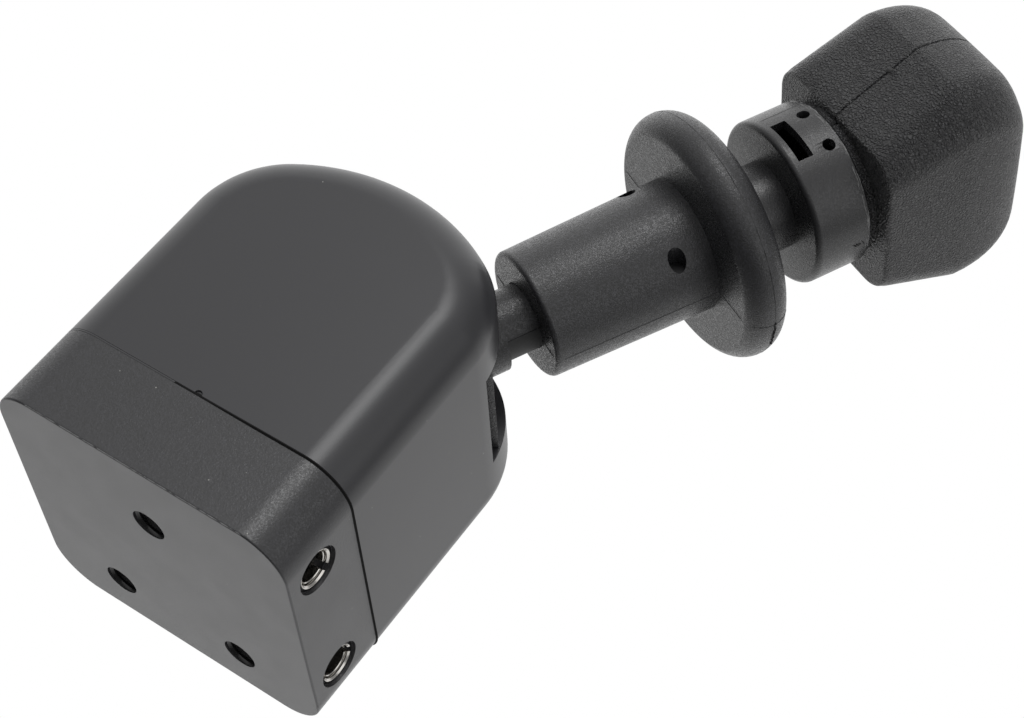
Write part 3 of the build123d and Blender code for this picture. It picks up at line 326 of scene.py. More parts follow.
def dressNode(name, slotName, edges):
    node = nodes[name]
    node.data.materials.clear()
    node.data.materials.append(finishes[nodeFinish.get(name, slotFinish[slotName])])
    node.data.shade_smooth()
    weld = node.modifiers.new("weld", "WELD")
    weld.merge_threshold = edges["weldMm"] * mm
    if name in edgeBreakMm:
        flatten = node.modifiers.new("mergeFlats", "DECIMATE")
        flatten.decimate_type = "DISSOLVE"
        flatten.angle_limit = math.radians(edges["flatWithin"])
        soften = node.modifiers.new("edgeBreak", "BEVEL")
        soften.width = edgeBreakMm[name] * mm
        soften.segments = edges["breakSegments"]
        soften.limit_method = "ANGLE"
        soften.angle_limit = math.radians(edges["breakFrom"])
    else:
        split = node.modifiers.new("sharpEdges", "EDGE_SPLIT")
        split.split_angle = math.radians(edges["sharpFrom"])
    level = node.modifiers.new("flatNormals", "WEIGHTED_NORMAL")
    level.keep_sharp = True


for entry in frame["record"]["subparts"]:
    dressNode(entry["node"], entry["material_slot"], nodeEdges)
print("stage: carried-over nodes dressed")

# Own pieces are written in millimetres, in the lever's axes or in the frame's, and sit on the CAD nodes: a
# ray finds each spot on a node's surface and the way it faces
housingFrame = Matrix.Scale(mm, 4)
mounts = {mount["name"]: mount for mount in frame["record"]["mounts"]}
surfaces = {}    # a search tree of each node's faces, made when it is first needed
joinMm = 0.0005    # points of one piece nearer than this are one point
ridgeEnd = 0.25    # width and height of a ridge at its two ends, as a share


def landOn(nodeName, place, start, direction):
    if nodeName not in surfaces:
        shape = bmesh.new()
        shape.from_mesh(nodes[nodeName].data)
        surfaces[nodeName] = BVHTree.FromBMesh(shape)
        shape.free()
    turn = place.to_3x3()
    ray = (turn @ Vector(direction)).normalized()
    spot, facing, _, _ = surfaces[nodeName].ray_cast(place @ Vector(start), ray)
    return place.inverted() @ spot, (turn.inverted() @ facing).normalized()


# Skin between neighbouring rings of points, capped at both ends unless the run closes on itself
def skin(rings, closedRun=False):
    count = len(rings[0])
    faces = []
    for i in range(len(rings) if closedRun else len(rings) - 1):
        here, after = i * count, (i + 1) % len(rings) * count
        faces += [(here + j, here + (j + 1) % count, after + (j + 1) % count, after + j)
                  for j in range(count)]
    if not closedRun:
        last = (len(rings) - 1) * count
        faces += [tuple(reversed(range(count))), tuple(range(last, last + count))]
    return [point for ring in rings for point in ring], faces


# Makes one piece of its skins, dresses it, and lets it ride on its body, or leaves it unparented where it
# stands between two
def addPiece(name, skins, place, look, replaced=None):
    points, faces = [], []
    for skinPoints, skinFaces in skins:
        faces += [tuple(len(points) + corner for corner in face) for face in skinFaces]
        points += skinPoints
    shape = bmesh.new()
    corners = [shape.verts.new(place @ Vector(point)) for point in points]
    for face in faces:
        shape.faces.new([corners[corner] for corner in face])
    bmesh.ops.remove_doubles(shape, verts=shape.verts, dist=joinMm * mm)
    bmesh.ops.recalc_face_normals(shape, faces=shape.faces)
    mesh = bpy.data.meshes.new(name)
    shape.to_mesh(mesh)
    shape.free()
    mesh.materials.append(finishes[look["finish"]])
    mesh.shade_smooth()
    piece = bpy.data.objects.new(name, mesh)
    bpy.context.scene.collection.objects.link(piece)
    split = piece.modifiers.new("sharpEdges", "EDGE_SPLIT")
    split.split_angle = math.radians(look["sharpFrom"])
    if "between" in look:
        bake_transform(piece)
    else:
        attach(piece, look["body"])
    if replaced:
        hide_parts(replaced)


# Thin raised line along spots on a surface, as a mould leaves it; each height is a share of the full one
def ridge(spots, wide, high, heights=None):
    rings = []
    for i, (point, facing) in enumerate(spots):
        along = spots[min(i + 1, len(spots) - 1)][0] - spots[max(i - 1, 0)][0]
        aside = along.cross(facing).normalized() * wide / 2
        lift = high * (heights[i] if heights else 1)
        if i in (0, len(spots) - 1):
            lift = lift * ridgeEnd
            aside = aside * ridgeEnd
        sunk = point - facing * high / 2
        rings.append([sunk - aside, point + facing * lift, sunk + aside])
    return skin(rings)


# Even steps from the first value to the last
def spread(first, last, count):
    return [first + (last - first) * i / (count - 1) for i in range(count)]


# Push-in collet in each port: a bright rim, a dark groove and a second lip, notched across, with a plain tube
# behind. Each point of the jaw's section is given by the rim or the bore, how far outside its radius it is,
# and how deep from the mouth
colletLook = {
    "body": "housing", "slot": "nickel_plate", "finish": "nickelPlate", "sharpFrom": 30,
    "turns": {"supply_port": -42.0, "delivery_port": -84.0},
    "rim": 4.08, "bore": 3.05, "mouth": 0.55, "length": 8.6,
    "notchWide": 1.5, "notchDeep": 2.6, "steps": 30,
    "jaw": (("rim", 0.0, 0.16), ("rim", -0.1, 0.0), ("rim", -0.2, 0.0), ("rim", -0.56, 0.3),
            ("rim", -0.6, 1.3), ("bore", 0.27, 1.3), ("bore", 0.25, 0.75), ("bore", 0.16, 0.66),
            ("bore", 0.0, 0.8)),
}


def portCollet(name, look):
    rim, bore = look["rim"], look["bore"]
    root = look["mouth"] + look["notchDeep"]
    face = [(look[side] + more, look["mouth"] + deep) for side, more, deep in look["jaw"]]
    jaw = [(rim, root)] + face + [(bore, root)]
    jaws = []
    for half in (0, math.pi):
        rings = []
        for share in spread(0, 1, look["steps"]):
            ring = []
            for radius, deep in jaw:
                gap = math.asin(look["notchWide"] / 2 / radius)
                angle = math.pi / 2 + half + gap + share * (math.pi - 2 * gap)
                ring.append((radius * math.cos(angle), radius * math.sin(angle), deep))
            rings.append(ring)
        jaws.append(skin(rings))
    tube = []
    for angle in spread(0, 2 * math.pi, 2 * look["steps"] + 1)[:-1]:
        wall = [(rim, root), (rim, look["length"]), (bore, look["length"]), (bore, root)]
        tube.append([(radius * math.cos(angle), radius * math.sin(angle), deep) for radius, deep in wall])
    mount = mounts[name]["pos_m"]
    place = (
        Matrix.Translation((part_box("port_block")[1][0], mount[1], mount[2]))
        @ Matrix.Rotation(math.radians(-90), 4, "Y")
        @ Matrix.Rotation(math.radians(look["turns"][name]), 4, "Z")
        @ Matrix.Scale(mm, 4)
    )
    addPiece(name + "_collet", jaws + [skin(tube, True)], place, look, "port_collets")


for portName in colletLook["turns"]:
    portCollet(portName, colletLook)

# Springs: each stands between two bodies, from its low seat to its high one. At each end some turns are
# closed up, and closedPitch is their pitch as a share of the wire's thickness
springLook = {
    "slot": "spring_steel", "finish": "springWire", "sharpFrom": 60,
    "stepsPerTurn": 36, "around": 14, "closedPitch": 1.04,
}
springs = {
    "collar_coil": {
        "between": ("collar", "lever"), "replaced": "collar_spring", "place": leverFrame,
        "radius": 6.6, "wire": 1.2, "turns": 6, "closed": 1.0, "low": 85.1, "high": 105.9},
    "graduating_coil": {
        "between": ("housing", "follower"), "replaced": "graduating_spring", "place": housingFrame,
        "radius": 7.7, "wire": 1.4, "turns": 4, "closed": 0.75, "low": 14.5, "high": 25.94},
    "valve_coil": {
        "between": ("housing", "valve"), "replaced": "valve_spring", "place": housingFrame,
        "radius": 2.3, "wire": 0.6, "turns": 2, "closed": 0.4, "low": 2.6, "high": 5.1},
}


def springCoil(name, look):
    wire, closed, free = look["wire"], look["closed"], look["turns"] - 2 * look["closed"]
    closedPitch = look["closedPitch"] * wire
    openPitch = (look["high"] - look["low"] - wire - 2 * closed * closedPitch) / free
    rings = []
    for i in range(look["turns"] * look["stepsPerTurn"] + 1):
        turn = i / look["stepsPerTurn"]
        seated = min(turn, closed) + max(0, turn - closed - free)
        opened = min(max(turn - closed, 0), free)
        height = look["low"] + wire / 2 + seated * closedPitch + opened * openPitch
        angle = 2 * math.pi * turn
        ring = []
        for side in spread(0, 2 * math.pi, look["around"] + 1)[:-1]:
            reach, rise = look["radius"] + wire / 2 * math.cos(side), wire / 2 * math.sin(side)
            ring.append((reach * math.cos(angle), reach * math.sin(angle), height + rise))
        rings.append(ring)
    addPiece(name, [skin(rings)], look["place"], look, look["replaced"])


for springName, springSize in springs.items():
    springCoil(springName, {**springLook, **springSize})

# Threads tapped in the three mounting holes; rootHalf and crestHalf are shares of the pitch
threadLook = {
    # the thread's finish is painted darker than the block, as shade inside the hole
    "body": "housing", "slot": "block_plastic", "finish": "tappedNylonShade", "sharpFrom": 40,
    "holes": ("mount_hole_front", "mount_hole_rear_left", "mount_hole_rear_right"),
    "pitch": 1.25, "deep": 0.45, "first": 0.55, "last": 7.2, "stepsPerTurn": 32, "runOutSteps": 12,
    "rootHalf": 0.46, "crestHalf": 0.06, "sunk": 0.02,
}


def tappedThread(name, look):
    radius, root, crest = mounts[name]["dims"]["r_mm"], look["rootHalf"], look["crestHalf"]
    steps = round((look["last"] - look["first"]) / look["pitch"] * look["stepsPerTurn"])
    rings = []
    for i in range(steps + 1):
        angle = 2 * math.pi * i / look["stepsPerTurn"]
        high = look["first"] + look["pitch"] * i / look["stepsPerTurn"]
        tip = radius - look["deep"] * min(1, min(i + 1, steps - i + 1) / look["runOutSteps"])
        wall = radius + look["sunk"]
        ring = []
        for reach, rise in ((wall, -root), (tip, -crest), (tip, crest), (wall, root)):
            ring.append((reach * math.cos(angle), reach * math.sin(angle), high + look["pitch"] * rise))
        rings.append(ring)
    x, y, _ = mounts[name]["pos_m"]
    addPiece(name + "_thread", [skin(rings)], Matrix.Translation((x, y, 0)) @ Matrix.Scale(mm, 4), look)


for holeName in threadLook["holes"]:
    tappedThread(holeName, threadLook)

# Flash of the collar's mould: along the plane through the lever and the pivot's middle, and round the rim of
# its flange. foot, side, face, rim and top are stretches in that plane: start, end and number of spots
# The flash is drawn in the dark flash finish: painted shade along the parting lines and round the rim
collarFlash = {
    "body": "collar", "slot": "lever_plastic", "finish": "mouldFlashShade", "sharpFrom": 60,
    "wide": 0.26, "high": 0.07,
    "foot": (7.4, 13.0, 5), "side": (53.0, 87.9, 12), "face": (14.6, 23.1, 6), "rim": (88.7, 98.5, 14),
    "top": (24.0, 17.5, 5), "far": 60.0, "seed": 4,
    "crest": 93.4, "crestSteps": 160, "crestSway": 0.05, "crestHeights": (0.3, 1.1),
    "burrWide": 0.5, "burrHigh": 0.34, "burrSpan": (-1.0, 17.0), "burrSway": 0.28, "burrSteps": 34,
    "burrHeights": (0.15, 0.5, 0.8, 1.0),
}


def collarLines(look):
    def land(start, direction):
        return landOn("collar_sleeve", leverFrame, start, direction)

    lines = []
    far = look["far"]
    for side in (-1, 1):
        lines.append([land((side * across, 0, 0), (0, 0, 1)) for across in spread(*look["foot"])])
        lines.append([land((side * far, 0, up), (-side, 0, 0)) for up in spread(*look["side"])])
        lines.append([land((side * across, 0, far), (0, 0, 1)) for across in spread(*look["face"])])
        lines.append([land((side * far, 0, up), (-side, 0, 0)) for up in spread(*look["rim"])])
        lines.append([land((side * across, 0, 2 * far), (0, 0, -1)) for across in spread(*look["top"])])
    return [ridge(line, look["wide"], look["high"]) for line in lines]


# Uneven line of flash round the flange's rim, dark as painted shade
def collarCrest(look):
    chance = random.Random(look["seed"])
    spots, heights = [], []
    for angle in spread(0, 2 * math.pi, look["crestSteps"] + 1):
        out = Vector((math.cos(angle), math.sin(angle), 0))
        sway = chance.uniform(-look["crestSway"], look["crestSway"])
        start = out * look["far"] + Vector((0, 0, look["crest"] + sway))
        spots.append(landOn("collar_sleeve", leverFrame, start, -out))
        heights.append(chance.uniform(*look["crestHeights"]))
    return ridge(spots, look["wide"], look["high"], heights)


# Torn edge of flash at one end of the parting line, dark as painted shade
def collarBurr(look):
    chance = random.Random(look["seed"])
    spots, heights = [], []
    for angle in spread(*look["burrSpan"], look["burrSteps"]):
        out = Vector((math.cos(math.radians(angle)), math.sin(math.radians(angle)), 0))
        sway = chance.uniform(-1, 1) * look["burrSway"]
        start = out * look["far"] + Vector((0, 0, look["crest"] + sway))
        spots.append(landOn("collar_sleeve", leverFrame, start, -out))
        heights.append(chance.choice(look["burrHeights"]))
    return ridge(spots, look["burrWide"], look["burrHigh"], heights)


addPiece("collar_flash_shade", collarLines(collarFlash) + [collarCrest(collarFlash), collarBurr(collarFlash)],
         leverFrame, collarFlash)

# Land of the stem's mould: a smooth band on each side where the two mould halves met, dark as painted shade
stemLand = {
    "body": "lever", "slot": "black_metal", "finish": "mouldFlashShade", "sharpFrom": 30,
    "radius": 6.9, "proud": 0.13, "sunk": 0.1, "halfAngle": 26.0, "low": 40.0, "high": 60.0, "steps": 9,
}


def stemBand(side, look):
    rings = []
    for angle in spread(-look["halfAngle"], look["halfAngle"], look["steps"]):
        turn = math.radians(angle)
        ring = []
        inside, outside = look["radius"] - look["sunk"], look["radius"] + look["proud"]
        for reach, end in ((inside, "low"), (outside, "low"), (outside, "high"), (inside, "high")):
            ring.append((side * reach * math.cos(turn), reach * math.sin(turn), look[end]))
        rings.append(ring)
    return skin(rings)


addPiece("stem_land_shade", [stemBand(side, stemLand) for side in (-1, 1)], leverFrame, stemLand)

# Knob: two moulded halves with a soft grained skin, a narrow base, a wide belly and a drawn-in crown, turned
# a few degrees on the stem. Widths are half widths across the lever (U) and along the pivot (Y)
knobShape = {
    "body": "lever", "slot": "knob_skin", "finish": "leatherGrainSkin", "sharpFrom": 38,
    "bottom": 123.7, "footU": 19.65, "footY": 18.32, "footRound": 6.37, "footBow": 0.25,
    "footShift": (0.63, 0.34), "footEdge": 0.7,
    "belly": 142.7, "bellyU": 20.58, "bellyY": 26.99, "bellyRound": 9.37, "bellyBow": 0.8,
    "top": 158.5, "drawU": 5.14, "drawY": 10.75, "topRound": 7.96, "topShift": (0.27, 1.59),
    "crownPower": 2.19, "capRise": 0.35, "turn": -4.6, "partingGap": 0.05, "partingRound": 0.26,
    "wall": 3.2, "roof": 5.0, "roofGap": 1.0,
    "spigot": 16.2, "spigotLow": 121.8, "hole": 9.4, "pocket": 11.8, "pocketLow": 124.7,
    "steps": 110, "flareSteps": 12, "crownSteps": 14, "edgeSteps": 4, "capSteps": 9,
}


# How far the skin is from the knob's axis at one angle: a rounded rectangle whose sides bow in to its corners
def knobReach(halfU, halfY, corner, bow, turn):
    least = 1e-6    # keeps the division whole where the direction runs along a side
    across, along = abs(math.cos(turn)), abs(math.sin(turn))
    reach = min(halfU / max(across, least), halfY / max(along, least))
    sideU = halfU - bow * min(1, reach * along / halfY) ** 2
    sideY = halfY - bow * min(1, reach * across / halfU) ** 2
    reach = min(sideU / max(across, least), sideY / max(along, least))
    middleU, middleY = sideU - corner, sideY - corner
    if reach * across > middleU and reach * along > middleY:
        toward = across * middleU + along * middleY
        reach = toward + math.sqrt(max(toward ** 2 - middleU ** 2 - middleY ** 2 + corner ** 2, 0))
    return reach


# Outline at each height, from the foot up: height, half widths, corner radius and bow
def knobLevels(look):
    levels = []
    for share in spread(0, 1, look["flareSteps"]):
        bow = look["footBow"] + (look["bellyBow"] - look["footBow"]) * share
        levels.append((look["bottom"] + (look["belly"] - look["bottom"]) * share,
                       look["footU"] + (look["bellyU"] - look["footU"]) * share,
                       look["footY"] + (look["bellyY"] - look["footY"]) * share,
                       look["footRound"] + (look["bellyRound"] - look["footRound"]) * share, bow))
    for share in spread(0, 1, look["crownSteps"])[1:]:
        rise = math.sin(share * math.pi / 2) ** (2 / look["crownPower"])
        drawn = 1 - math.cos(share * math.pi / 2) ** (2 / look["crownPower"])
        levels.append((look["belly"] + (look["top"] - look["belly"]) * rise,
                       look["bellyU"] - look["drawU"] * drawn, look["bellyY"] - look["drawY"] * drawn,
                       look["bellyRound"] + (look["topRound"] - look["bellyRound"]) * drawn,
                       look["bellyBow"] * (1 - drawn / 2)))
    return levels


# Closed outline of the shell in the plane at one angle: spigot, foot, outer skin, crown, and back inside
def knobOutline(look, levels, turn):
    reaches = [(knobReach(*section, turn), high) for high, *section in levels]
    foot, edge = reaches[0][0], look["footEdge"]
    outer = [(look["spigot"], look["spigotLow"]), (look["spigot"], look["bottom"]),
             (foot - 2 * edge, look["bottom"])]
    for share in spread(0, 1, look["edgeSteps"]):
        bend = share * math.pi / 2
        outer.append((foot - edge + edge * math.sin(bend), look["bottom"] + edge - edge * math.cos(bend)))
    outer += [(reach, high) for reach, high in reaches[1:] if high > look["bottom"] + edge]
    rim = reaches[-1][0]
    for share in spread(0, 1, look["capSteps"])[1:]:
        outer.append((rim * (1 - share), look["top"] + look["capRise"] * (1 - (1 - share) ** 2)))
    wall, ceiling, ledge = look["wall"], look["top"] - look["roof"], look["bottom"] + look["wall"]
    inner = [(0, ceiling), (rim - wall, ceiling)]
    inner += [(reach - wall, high) for reach, high in reversed(reaches)
              if ledge < high < ceiling - look["roofGap"]]
    inner += [(foot - wall, ledge), (look["pocket"], ledge), (look["pocket"], look["pocketLow"]),
              (look["hole"], look["pocketLow"]), (look["hole"], look["spigotLow"])]
    return outer, inner


# The outline moved inward by a depth, for the small round along the parting line
def sinkOutline(outline, depth):
    sunk = []
    for i, (reach, high) in enumerate(outline):
        before, after = outline[max(i - 1, 0)], outline[min(i + 1, len(outline) - 1)]
        run = Vector((after[0] - before[0], after[1] - before[1])).normalized()
        sunk.append((max(reach - depth * run.y, 0), high + depth * run.x))
    return sunk


# Half a knob, swept round the stem: its spigot and bore stay on the stem's axis, and its skin leans and
# turns. A last ring at each end, sunk a little, rounds the parting line
def knobHalf(name, side, look, replaced):
    levels = knobLevels(look)
    twist = math.radians(look["turn"])
    footU, footY, topU, topY = look["footShift"] + look["topShift"]
    rings = []
    angles = spread(-90, 90, look["steps"])
    for i, angle in enumerate([angles[0]] + angles + [angles[-1]]):
        atParting = i in (0, look["steps"] + 1)
        turn = math.radians(angle)
        outer, inner = knobOutline(look, levels, turn)
        if atParting:
            outer = sinkOutline(outer, look["partingRound"])
        gap = look["partingGap"] if atParting else look["partingRound"]
        ring = []
        for reach, high in outer + inner:
            u = side * (gap + reach * math.cos(turn))
            y = reach * math.sin(turn)
            share = max(0, (high - look["bottom"]) / (look["top"] - look["bottom"]))
            atStem = reach <= look["spigot"] and high <= look["bottom"] + look["wall"]
            if high <= look["spigotLow"] or atStem:
                ring.append((u, y, high))
            else:
                shiftU, shiftY = footU + (topU - footU) * share, footY + (topY - footY) * share
                ring.append((shiftU + u * math.cos(twist) - y * math.sin(twist),
                             shiftY + u * math.sin(twist) + y * math.cos(twist), high))
        rings.append(ring)
    addPiece(name, [skin(rings)], leverFrame, look, replaced)


knobHalf("knob_front_skin", 1, knobShape, "knob_front_half")
knobHalf("knob_rear_skin", -1, knobShape, "knob_rear_half")

# A small lump that the sprue left on the parting line of the knob's front face, dark as painted shade
knobLump = {
    "body": "lever", "slot": "knob_skin", "finish": "mouldFlashShade", "sharpFrom": 50,
    "at": (-1.45, -23.15, 136.4), "facing": (0, -0.9, -0.43), "along": (0, -0.43, 0.9),
    "long": 1.7, "wide": 1.1, "high": 0.42, "sunk": 0.05, "domeTo": 0.92, "rough": (0.85, 1.15), "seed": 9,
    "rings": 7, "around": 10,
}


def knobMound(look):
    chance = random.Random(look["seed"])
    spot = Vector(look["at"])
    facing, along = Vector(look["facing"]).normalized(), Vector(look["along"]).normalized()
    aside = along.cross(facing)
    rings = []
    for share in spread(0, look["domeTo"], look["rings"]):
        reach = math.cos(share * math.pi / 2)
        rise = look["high"] * math.sin(share * math.pi / 2) - look["sunk"]
        ring = []
        for turn in spread(0, 2 * math.pi, look["around"] + 1)[:-1]:
            rough = chance.uniform(*look["rough"])
            edge = along * math.cos(turn) * look["long"] / 2 + aside * math.sin(turn) * look["wide"] / 2
            ring.append(spot + edge * reach * rough + facing * rise * rough)
        rings.append(ring)
    return skin(rings)


addPiece("knob_lump_shade", [knobMound(knobLump)], leverFrame, knobLump)

# Ring under the knob: pale scratches along its top edge, partly wear and partly painted highlight, a faint
# line of flash and a scuffed gate mark, both dark as painted shade. Angles and a scratch's span are in degrees
# round the stem, and line is its start, end and number of spots
ringMarks = {
    "body": "lever", "slot": "lever_plastic", "finish": "rubbedNylonHighlight", "sharpFrom": 60,
    "far": 40.0, "seed": 17, "count": 60, "angles": (-170.0, 10.0), "edge": (120.5, 121.3),
    "span": (1.0, 12.0), "sway": 0.04, "steps": 5, "wide": 0.22, "high": 0.06, "heights": (0.5, 1.3),
}
ringFlash = {
    "body": "lever", "slot": "lever_plastic", "finish": "mouldFlashShade", "sharpFrom": 60,
    "far": 40.0, "seed": 23, "angle": -119.0, "line": (111.0, 120.6, 12), "wide": 0.24, "high": 0.06,
    "scuffAngle": 0.0, "scuffAt": 118.7, "scuffWide": 1.1, "scuffCount": 9, "scuffLean": (1.0, 3.0),
    "scuffRise": (0.2, 0.5), "scuffSteps": 4, "scuffHigh": 0.24,
}


def ringSpot(angle, height, far):
    out = Vector((math.cos(math.radians(angle)), math.sin(math.radians(angle)), 0))
    return landOn("knob_base", leverFrame, out * far + Vector((0, 0, height)), -out)


def ringScratches(look):
    chance = random.Random(look["seed"])
    marks = []
    for _ in range(look["count"]):
        first = chance.uniform(*look["angles"])
        height = chance.uniform(*look["edge"])
        span = chance.uniform(*look["span"])
        spots = []
        for share in spread(0, 1, look["steps"]):
            sway = chance.uniform(-look["sway"], look["sway"])
            spots.append(ringSpot(first + span * share, height + sway, look["far"]))
        heights = [chance.uniform(*look["heights"]) for _ in spots]
        marks.append(ridge(spots, look["wide"], look["high"], heights))
    return marks


def ringScuff(look):
    chance = random.Random(look["seed"])
    line = [ringSpot(look["angle"], height, look["far"]) for height in spread(*look["line"])]
    marks = [ridge(line, look["wide"], look["high"])]
    for _ in range(look["scuffCount"]):
        middle = look["scuffAt"] + chance.uniform(-1, 1) * look["scuffWide"]
        lean = chance.uniform(*look["scuffLean"])
        spots = []
        for share in spread(-1, 1, look["scuffSteps"]):
            height = middle + share * chance.uniform(*look["scuffRise"])
            spots.append(ringSpot(look["scuffAngle"] + lean * share, height, look["far"]))
        marks.append(ridge(spots, look["wide"], look["scuffHigh"]))
    return marks


addPiece("ring_scratch_highlights", ringScratches(ringMarks), leverFrame, ringMarks)
addPiece("ring_flash_shade", ringScuff(ringFlash), leverFrame, ringFlash)

# Block: a hairline of flash along the bottom edge of the front face, with small nicks, pale as wear and as
# painted highlight on the edge
edgeFlash = {
    "body": "housing", "slot": "block_plastic", "finish": "rubbedNylonHighlight", "sharpFrom": 60,
    "line": (-24.5, 24.5, 120), "z": 0.12, "far": 60.0, "wide": 0.16, "high": 0.05,
    "heights": (0.2, 0.8, 1.0, 1.3), "seed": 31,
}


def blockEdge(look):
    chance = random.Random(look["seed"])
    spots = [landOn("port_block", housingFrame, (x, -look["far"], look["z"]), (0, 1, 0))
             for x in spread(*look["line"])]
    return ridge(spots, look["wide"], look["high"], [chance.choice(look["heights"]) for _ in spots])


addPiece("block_edge_flash_highlight", [blockEdge(edgeFlash)], housingFrame, edgeFlash)

# Near-black lip of the gasket that stands in the seam between cover and block, fuller round the side with the
# ports: painted shadow of the seam's gap. It runs along the block's wall, found a little below the seam: run is
# its start and end in degrees round the housing and its number of spots, and it rises from its least height to
# its full one at fullFrom
seamShadowLip = {
    "body": "housing", "slot": "gasket_rubber", "finish": "nitrileRubber", "sharpFrom": 60, "far": 80.0,
    "run": (-99.5, 42.0, 150), "fullFrom": -62.0, "least": 0.15, "below": 1.2, "wide": 0.95, "high": 0.3,
}


def gasketSeam(look):
    low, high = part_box("cover_gasket")
    level = (low.z + high.z) / 2 / mm
    first = look["run"][0]
    spots, heights = [], []
    for angle in spread(*look["run"]):
        out = Vector((math.cos(math.radians(angle)), math.sin(math.radians(angle)), 0))
        start = out * look["far"] + Vector((0, 0, level - look["below"]))
        spot, facing = landOn("port_block", housingFrame, start, -out)
        spots.append((Vector((spot.x, spot.y, level)), facing))
        heights.append(min(1.0, max(look["least"], (angle - first) / (look["fullFrom"] - first))))
    return ridge(spots, look["wide"], look["high"], heights)


addPiece("seam_shadow_lip", [gasketSeam(seamShadowLip)], housingFrame, seamShadowLip)

# Flash of the cover that all but closes the seam along the left of the front
seamFlash = {
    "body": "housing", "slot": "cover_plastic", "finish": "satinAbsCover", "sharpFrom": 60, "far": 80.0,
    "run": (-143.0, -99.0, 90), "fullFrom": -142.0, "least": 0.15, "below": 1.2, "wide": 0.32, "high": 0.04,
}
addPiece("seam_flash", [gasketSeam(seamFlash)], housingFrame, seamFlash)
print("stage: own pieces built")

# Camera fitted to the photograph: its place in metres, its own directions and its focal length in pixels
cameraFit = {
    "place": (0.17633, -0.32745, -0.11812),
    "right": (0.8219, 0.0441, 0.5679),
    "down": (0.4360, 0.5928, -0.6771),
    "ahead": (-0.3665, 0.8041, 0.4680),
    "shift": (0.0041, 0.0003),
    "focalPx": 2093.3,
    "imageWidth": 1024,
    "sensorMm": 36.0,
    "clip": (0.01, 20.0),
}


def makeCamera(fit):
    data = bpy.data.cameras.new("photoCamera")
    data.sensor_width = fit["sensorMm"]
    data.lens = fit["focalPx"] / fit["imageWidth"] * fit["sensorMm"]
    data.shift_x, data.shift_y = fit["shift"]
    data.clip_start, data.clip_end = fit["clip"]
    camera = bpy.data.objects.new("photoCamera", data)
    bpy.context.scene.collection.objects.link(camera)
    turn = Matrix((fit["right"], [-v for v in fit["down"]], [-v for v in fit["ahead"]])).transposed()
    camera.matrix_world = Matrix.Translation(fit["place"]) @ turn.to_4x4()
    bpy.context.scene.camera = camera


makeCamera(cameraFit)

# Soft boxes: direction seen from the part, distance and side in metres, strength as the white it shows
lampAim = Vector((0.03, 0.0, 0.07))    # about the middle of the part
lamps = {
    "ceilingBox": {"toward": (-0.05, -0.92, 0.38), "away": 1.2, "side": 0.5, "white": 5.0},
    "tableBox": {"toward": (-0.46, 0.60, -0.65), "away": 0.8, "side": 0.7, "white": 0.15},
}


def makeLamp(name, lamp):
    data = bpy.data.lights.new(name, "AREA")
    data.size = lamp["side"]
    data.energy = lamp["white"] * math.pi * lamp["side"] ** 2
    light = bpy.data.objects.new(name, data)
    toward = Vector(lamp["toward"]).normalized()
    light.location = lampAim + toward * lamp["away"]
    light.rotation_mode = "QUATERNION"
    light.rotation_quaternion = (-toward).to_track_quat("-Z", "Y")
    bpy.context.scene.collection.objects.link(light)


for lampName, lamp in lamps.items():
    makeLamp(lampName, lamp)

# World: a white table on the +Y side, where the part lies in the photograph, a dim room at the table's edge
# and a pale ceiling on the -Y side. The camera sees plain white all round; gloss and clear pieces see that
# white where the table is. Stops and table run from 0 at -Y to 1 at +Y, a window's from and to are how nearly
# a ray points at it, and under darkens what comes from below, by the ray's Z
skyLook = {
    "stops": {0.0: 0.85, 0.11: 0.78, 0.20: 0.66, 0.33: 0.30, 0.60: 0.26, 0.72: 0.95, 0.92: 0.88, 1.0: 0.75},
    "tableFrom": 0.90,
    "tableTo": 0.98,
    "windows": [
        {"at": (-0.55, 0.0, 0.83), "from": 0.36, "to": 0.95, "level": 1.25},
        {"at": (0.93, -0.36, 0.05), "from": 0.82, "to": 0.97, "level": 1.15},
    ],
    "underTo": -0.80,
    "underFrom": -0.40,
    "underShare": 0.35,
}


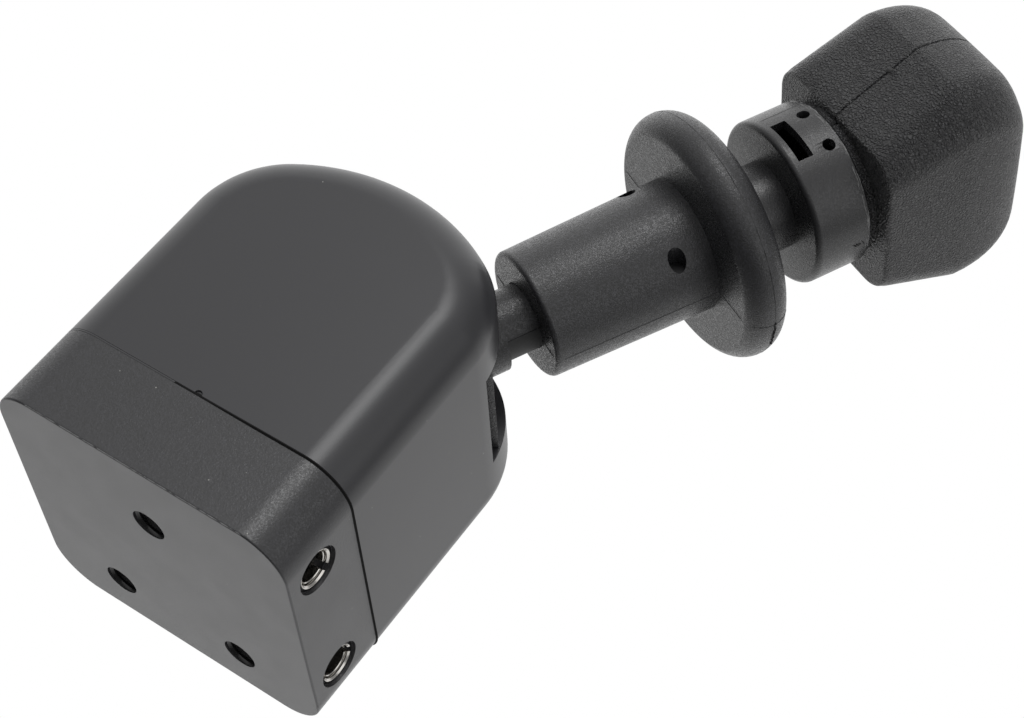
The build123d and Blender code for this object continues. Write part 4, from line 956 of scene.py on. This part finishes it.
def makeWorld(look):
    world = bpy.data.worlds.new("studioWhite")
    bpy.context.scene.world = world
    world.use_nodes = True
    world.node_tree.nodes.clear()
    rays = addNode(world, "ShaderNodeLightPath")
    toward = addNode(world, "ShaderNodeTexCoord").outputs["Generated"]
    split = addNode(world, "ShaderNodeSeparateXYZ", None, {"Vector": toward})
    share = addNode(world, "ShaderNodeMapRange", {"From Min": -1.0, "From Max": 1.0}, {
        "Value": split.outputs["Y"]})
    ramp = addNode(world, "ShaderNodeValToRGB", None, {"Fac": share.outputs[0]})
    ramp.color_ramp.interpolation = "EASE"
    while len(ramp.color_ramp.elements) < len(look["stops"]):
        ramp.color_ramp.elements.new(0.5)    # anywhere: its place is set below
    for element, (place, grey) in zip(ramp.color_ramp.elements, look["stops"].items()):
        element.position = place
        element.color = (grey, grey, grey, 1)
    level = ramp.outputs[0]
    for window in look["windows"]:
        facing = addNode(world, "ShaderNodeVectorMath", {
            "operation": "DOT_PRODUCT", 1: window["at"]}, {0: toward})
        glow = addNode(world, "ShaderNodeMapRange", {
            "From Min": window["from"], "From Max": window["to"], "To Max": window["level"],
            "interpolation_type": "SMOOTHSTEP"}, {"Value": facing.outputs["Value"]})
        level = addNode(world, "ShaderNodeMath", {"operation": "MAXIMUM"}, {
            0: level, 1: glow.outputs[0]}).outputs[0]
    under = addNode(world, "ShaderNodeMapRange", {
        "From Min": look["underTo"], "From Max": look["underFrom"], "To Min": look["underShare"]}, {
        "Value": split.outputs["Z"]})
    room = addNode(world, "ShaderNodeBackground", None, {"Color": level, "Strength": under.outputs[0]})
    white = addNode(world, "ShaderNodeBackground", {"Color": (1, 1, 1, 1)})
    table = addNode(world, "ShaderNodeMapRange", {
        "From Min": look["tableFrom"], "From Max": look["tableTo"]}, {"Value": share.outputs[0]})
    mirrored = addNode(world, "ShaderNodeMath", {"operation": "ADD", "use_clamp": True}, {
        0: rays.outputs["Is Glossy Ray"], 1: rays.outputs["Is Transmission Ray"]})
    onTable = addNode(world, "ShaderNodeMath", {"operation": "MULTIPLY"}, {
        0: mirrored.outputs[0], 1: table.outputs[0]})
    asWhite = addNode(world, "ShaderNodeMath", {"operation": "MAXIMUM"}, {
        0: rays.outputs["Is Camera Ray"], 1: onTable.outputs[0]})
    shown = addNode(world, "ShaderNodeMixShader", None, {
        0: asWhite.outputs[0], 1: room.outputs[0], 2: white.outputs[0]})
    addNode(world, "ShaderNodeOutputWorld", None, {"Surface": shown.outputs[0]})


makeWorld(skyLook)

# Pale floor under the mounting face, in metres: seen from above only, so that the photograph's low camera
# looks past it
floorLook = {"colour": "#f2f2f1", "half": 3.0, "below": 0.0002}


def floorPaint(look):
    paint = startMaterial("paleFloor")
    side = addNode(paint, "ShaderNodeNewGeometry")
    coat = addNode(paint, "ShaderNodeBsdfDiffuse", {"Color": linearColour(look["colour"])})
    clear = addNode(paint, "ShaderNodeBsdfTransparent")
    rays = addNode(paint, "ShaderNodeLightPath")
    seenFromAbove = addNode(paint, "ShaderNodeMath", {"operation": "SUBTRACT"}, {
        0: rays.outputs["Is Camera Ray"], 1: side.outputs["Backfacing"]})
    oneWay = addNode(paint, "ShaderNodeMixShader", None, {
        0: seenFromAbove.outputs[0], 1: clear.outputs[0], 2: coat.outputs[0]})
    addNode(paint, "ShaderNodeOutputMaterial", None, {"Surface": oneWay.outputs[0]})
    return paint


def makeFloor(look):
    half = look["half"]
    mesh = bpy.data.meshes.new("floor")
    corners = [(-half, -half, 0), (half, -half, 0), (half, half, 0), (-half, half, 0)]
    mesh.from_pydata(corners, [], [(0, 1, 2, 3)])
    mesh.materials.append(floorPaint(look))
    floor = bpy.data.objects.new("floor", mesh)
    floor.location.z = -look["below"]
    bpy.context.scene.collection.objects.link(floor)


makeFloor(floorLook)
print("stage: camera, lamps, world and floor")

bpy.context.scene.view_settings.view_transform = "Standard"
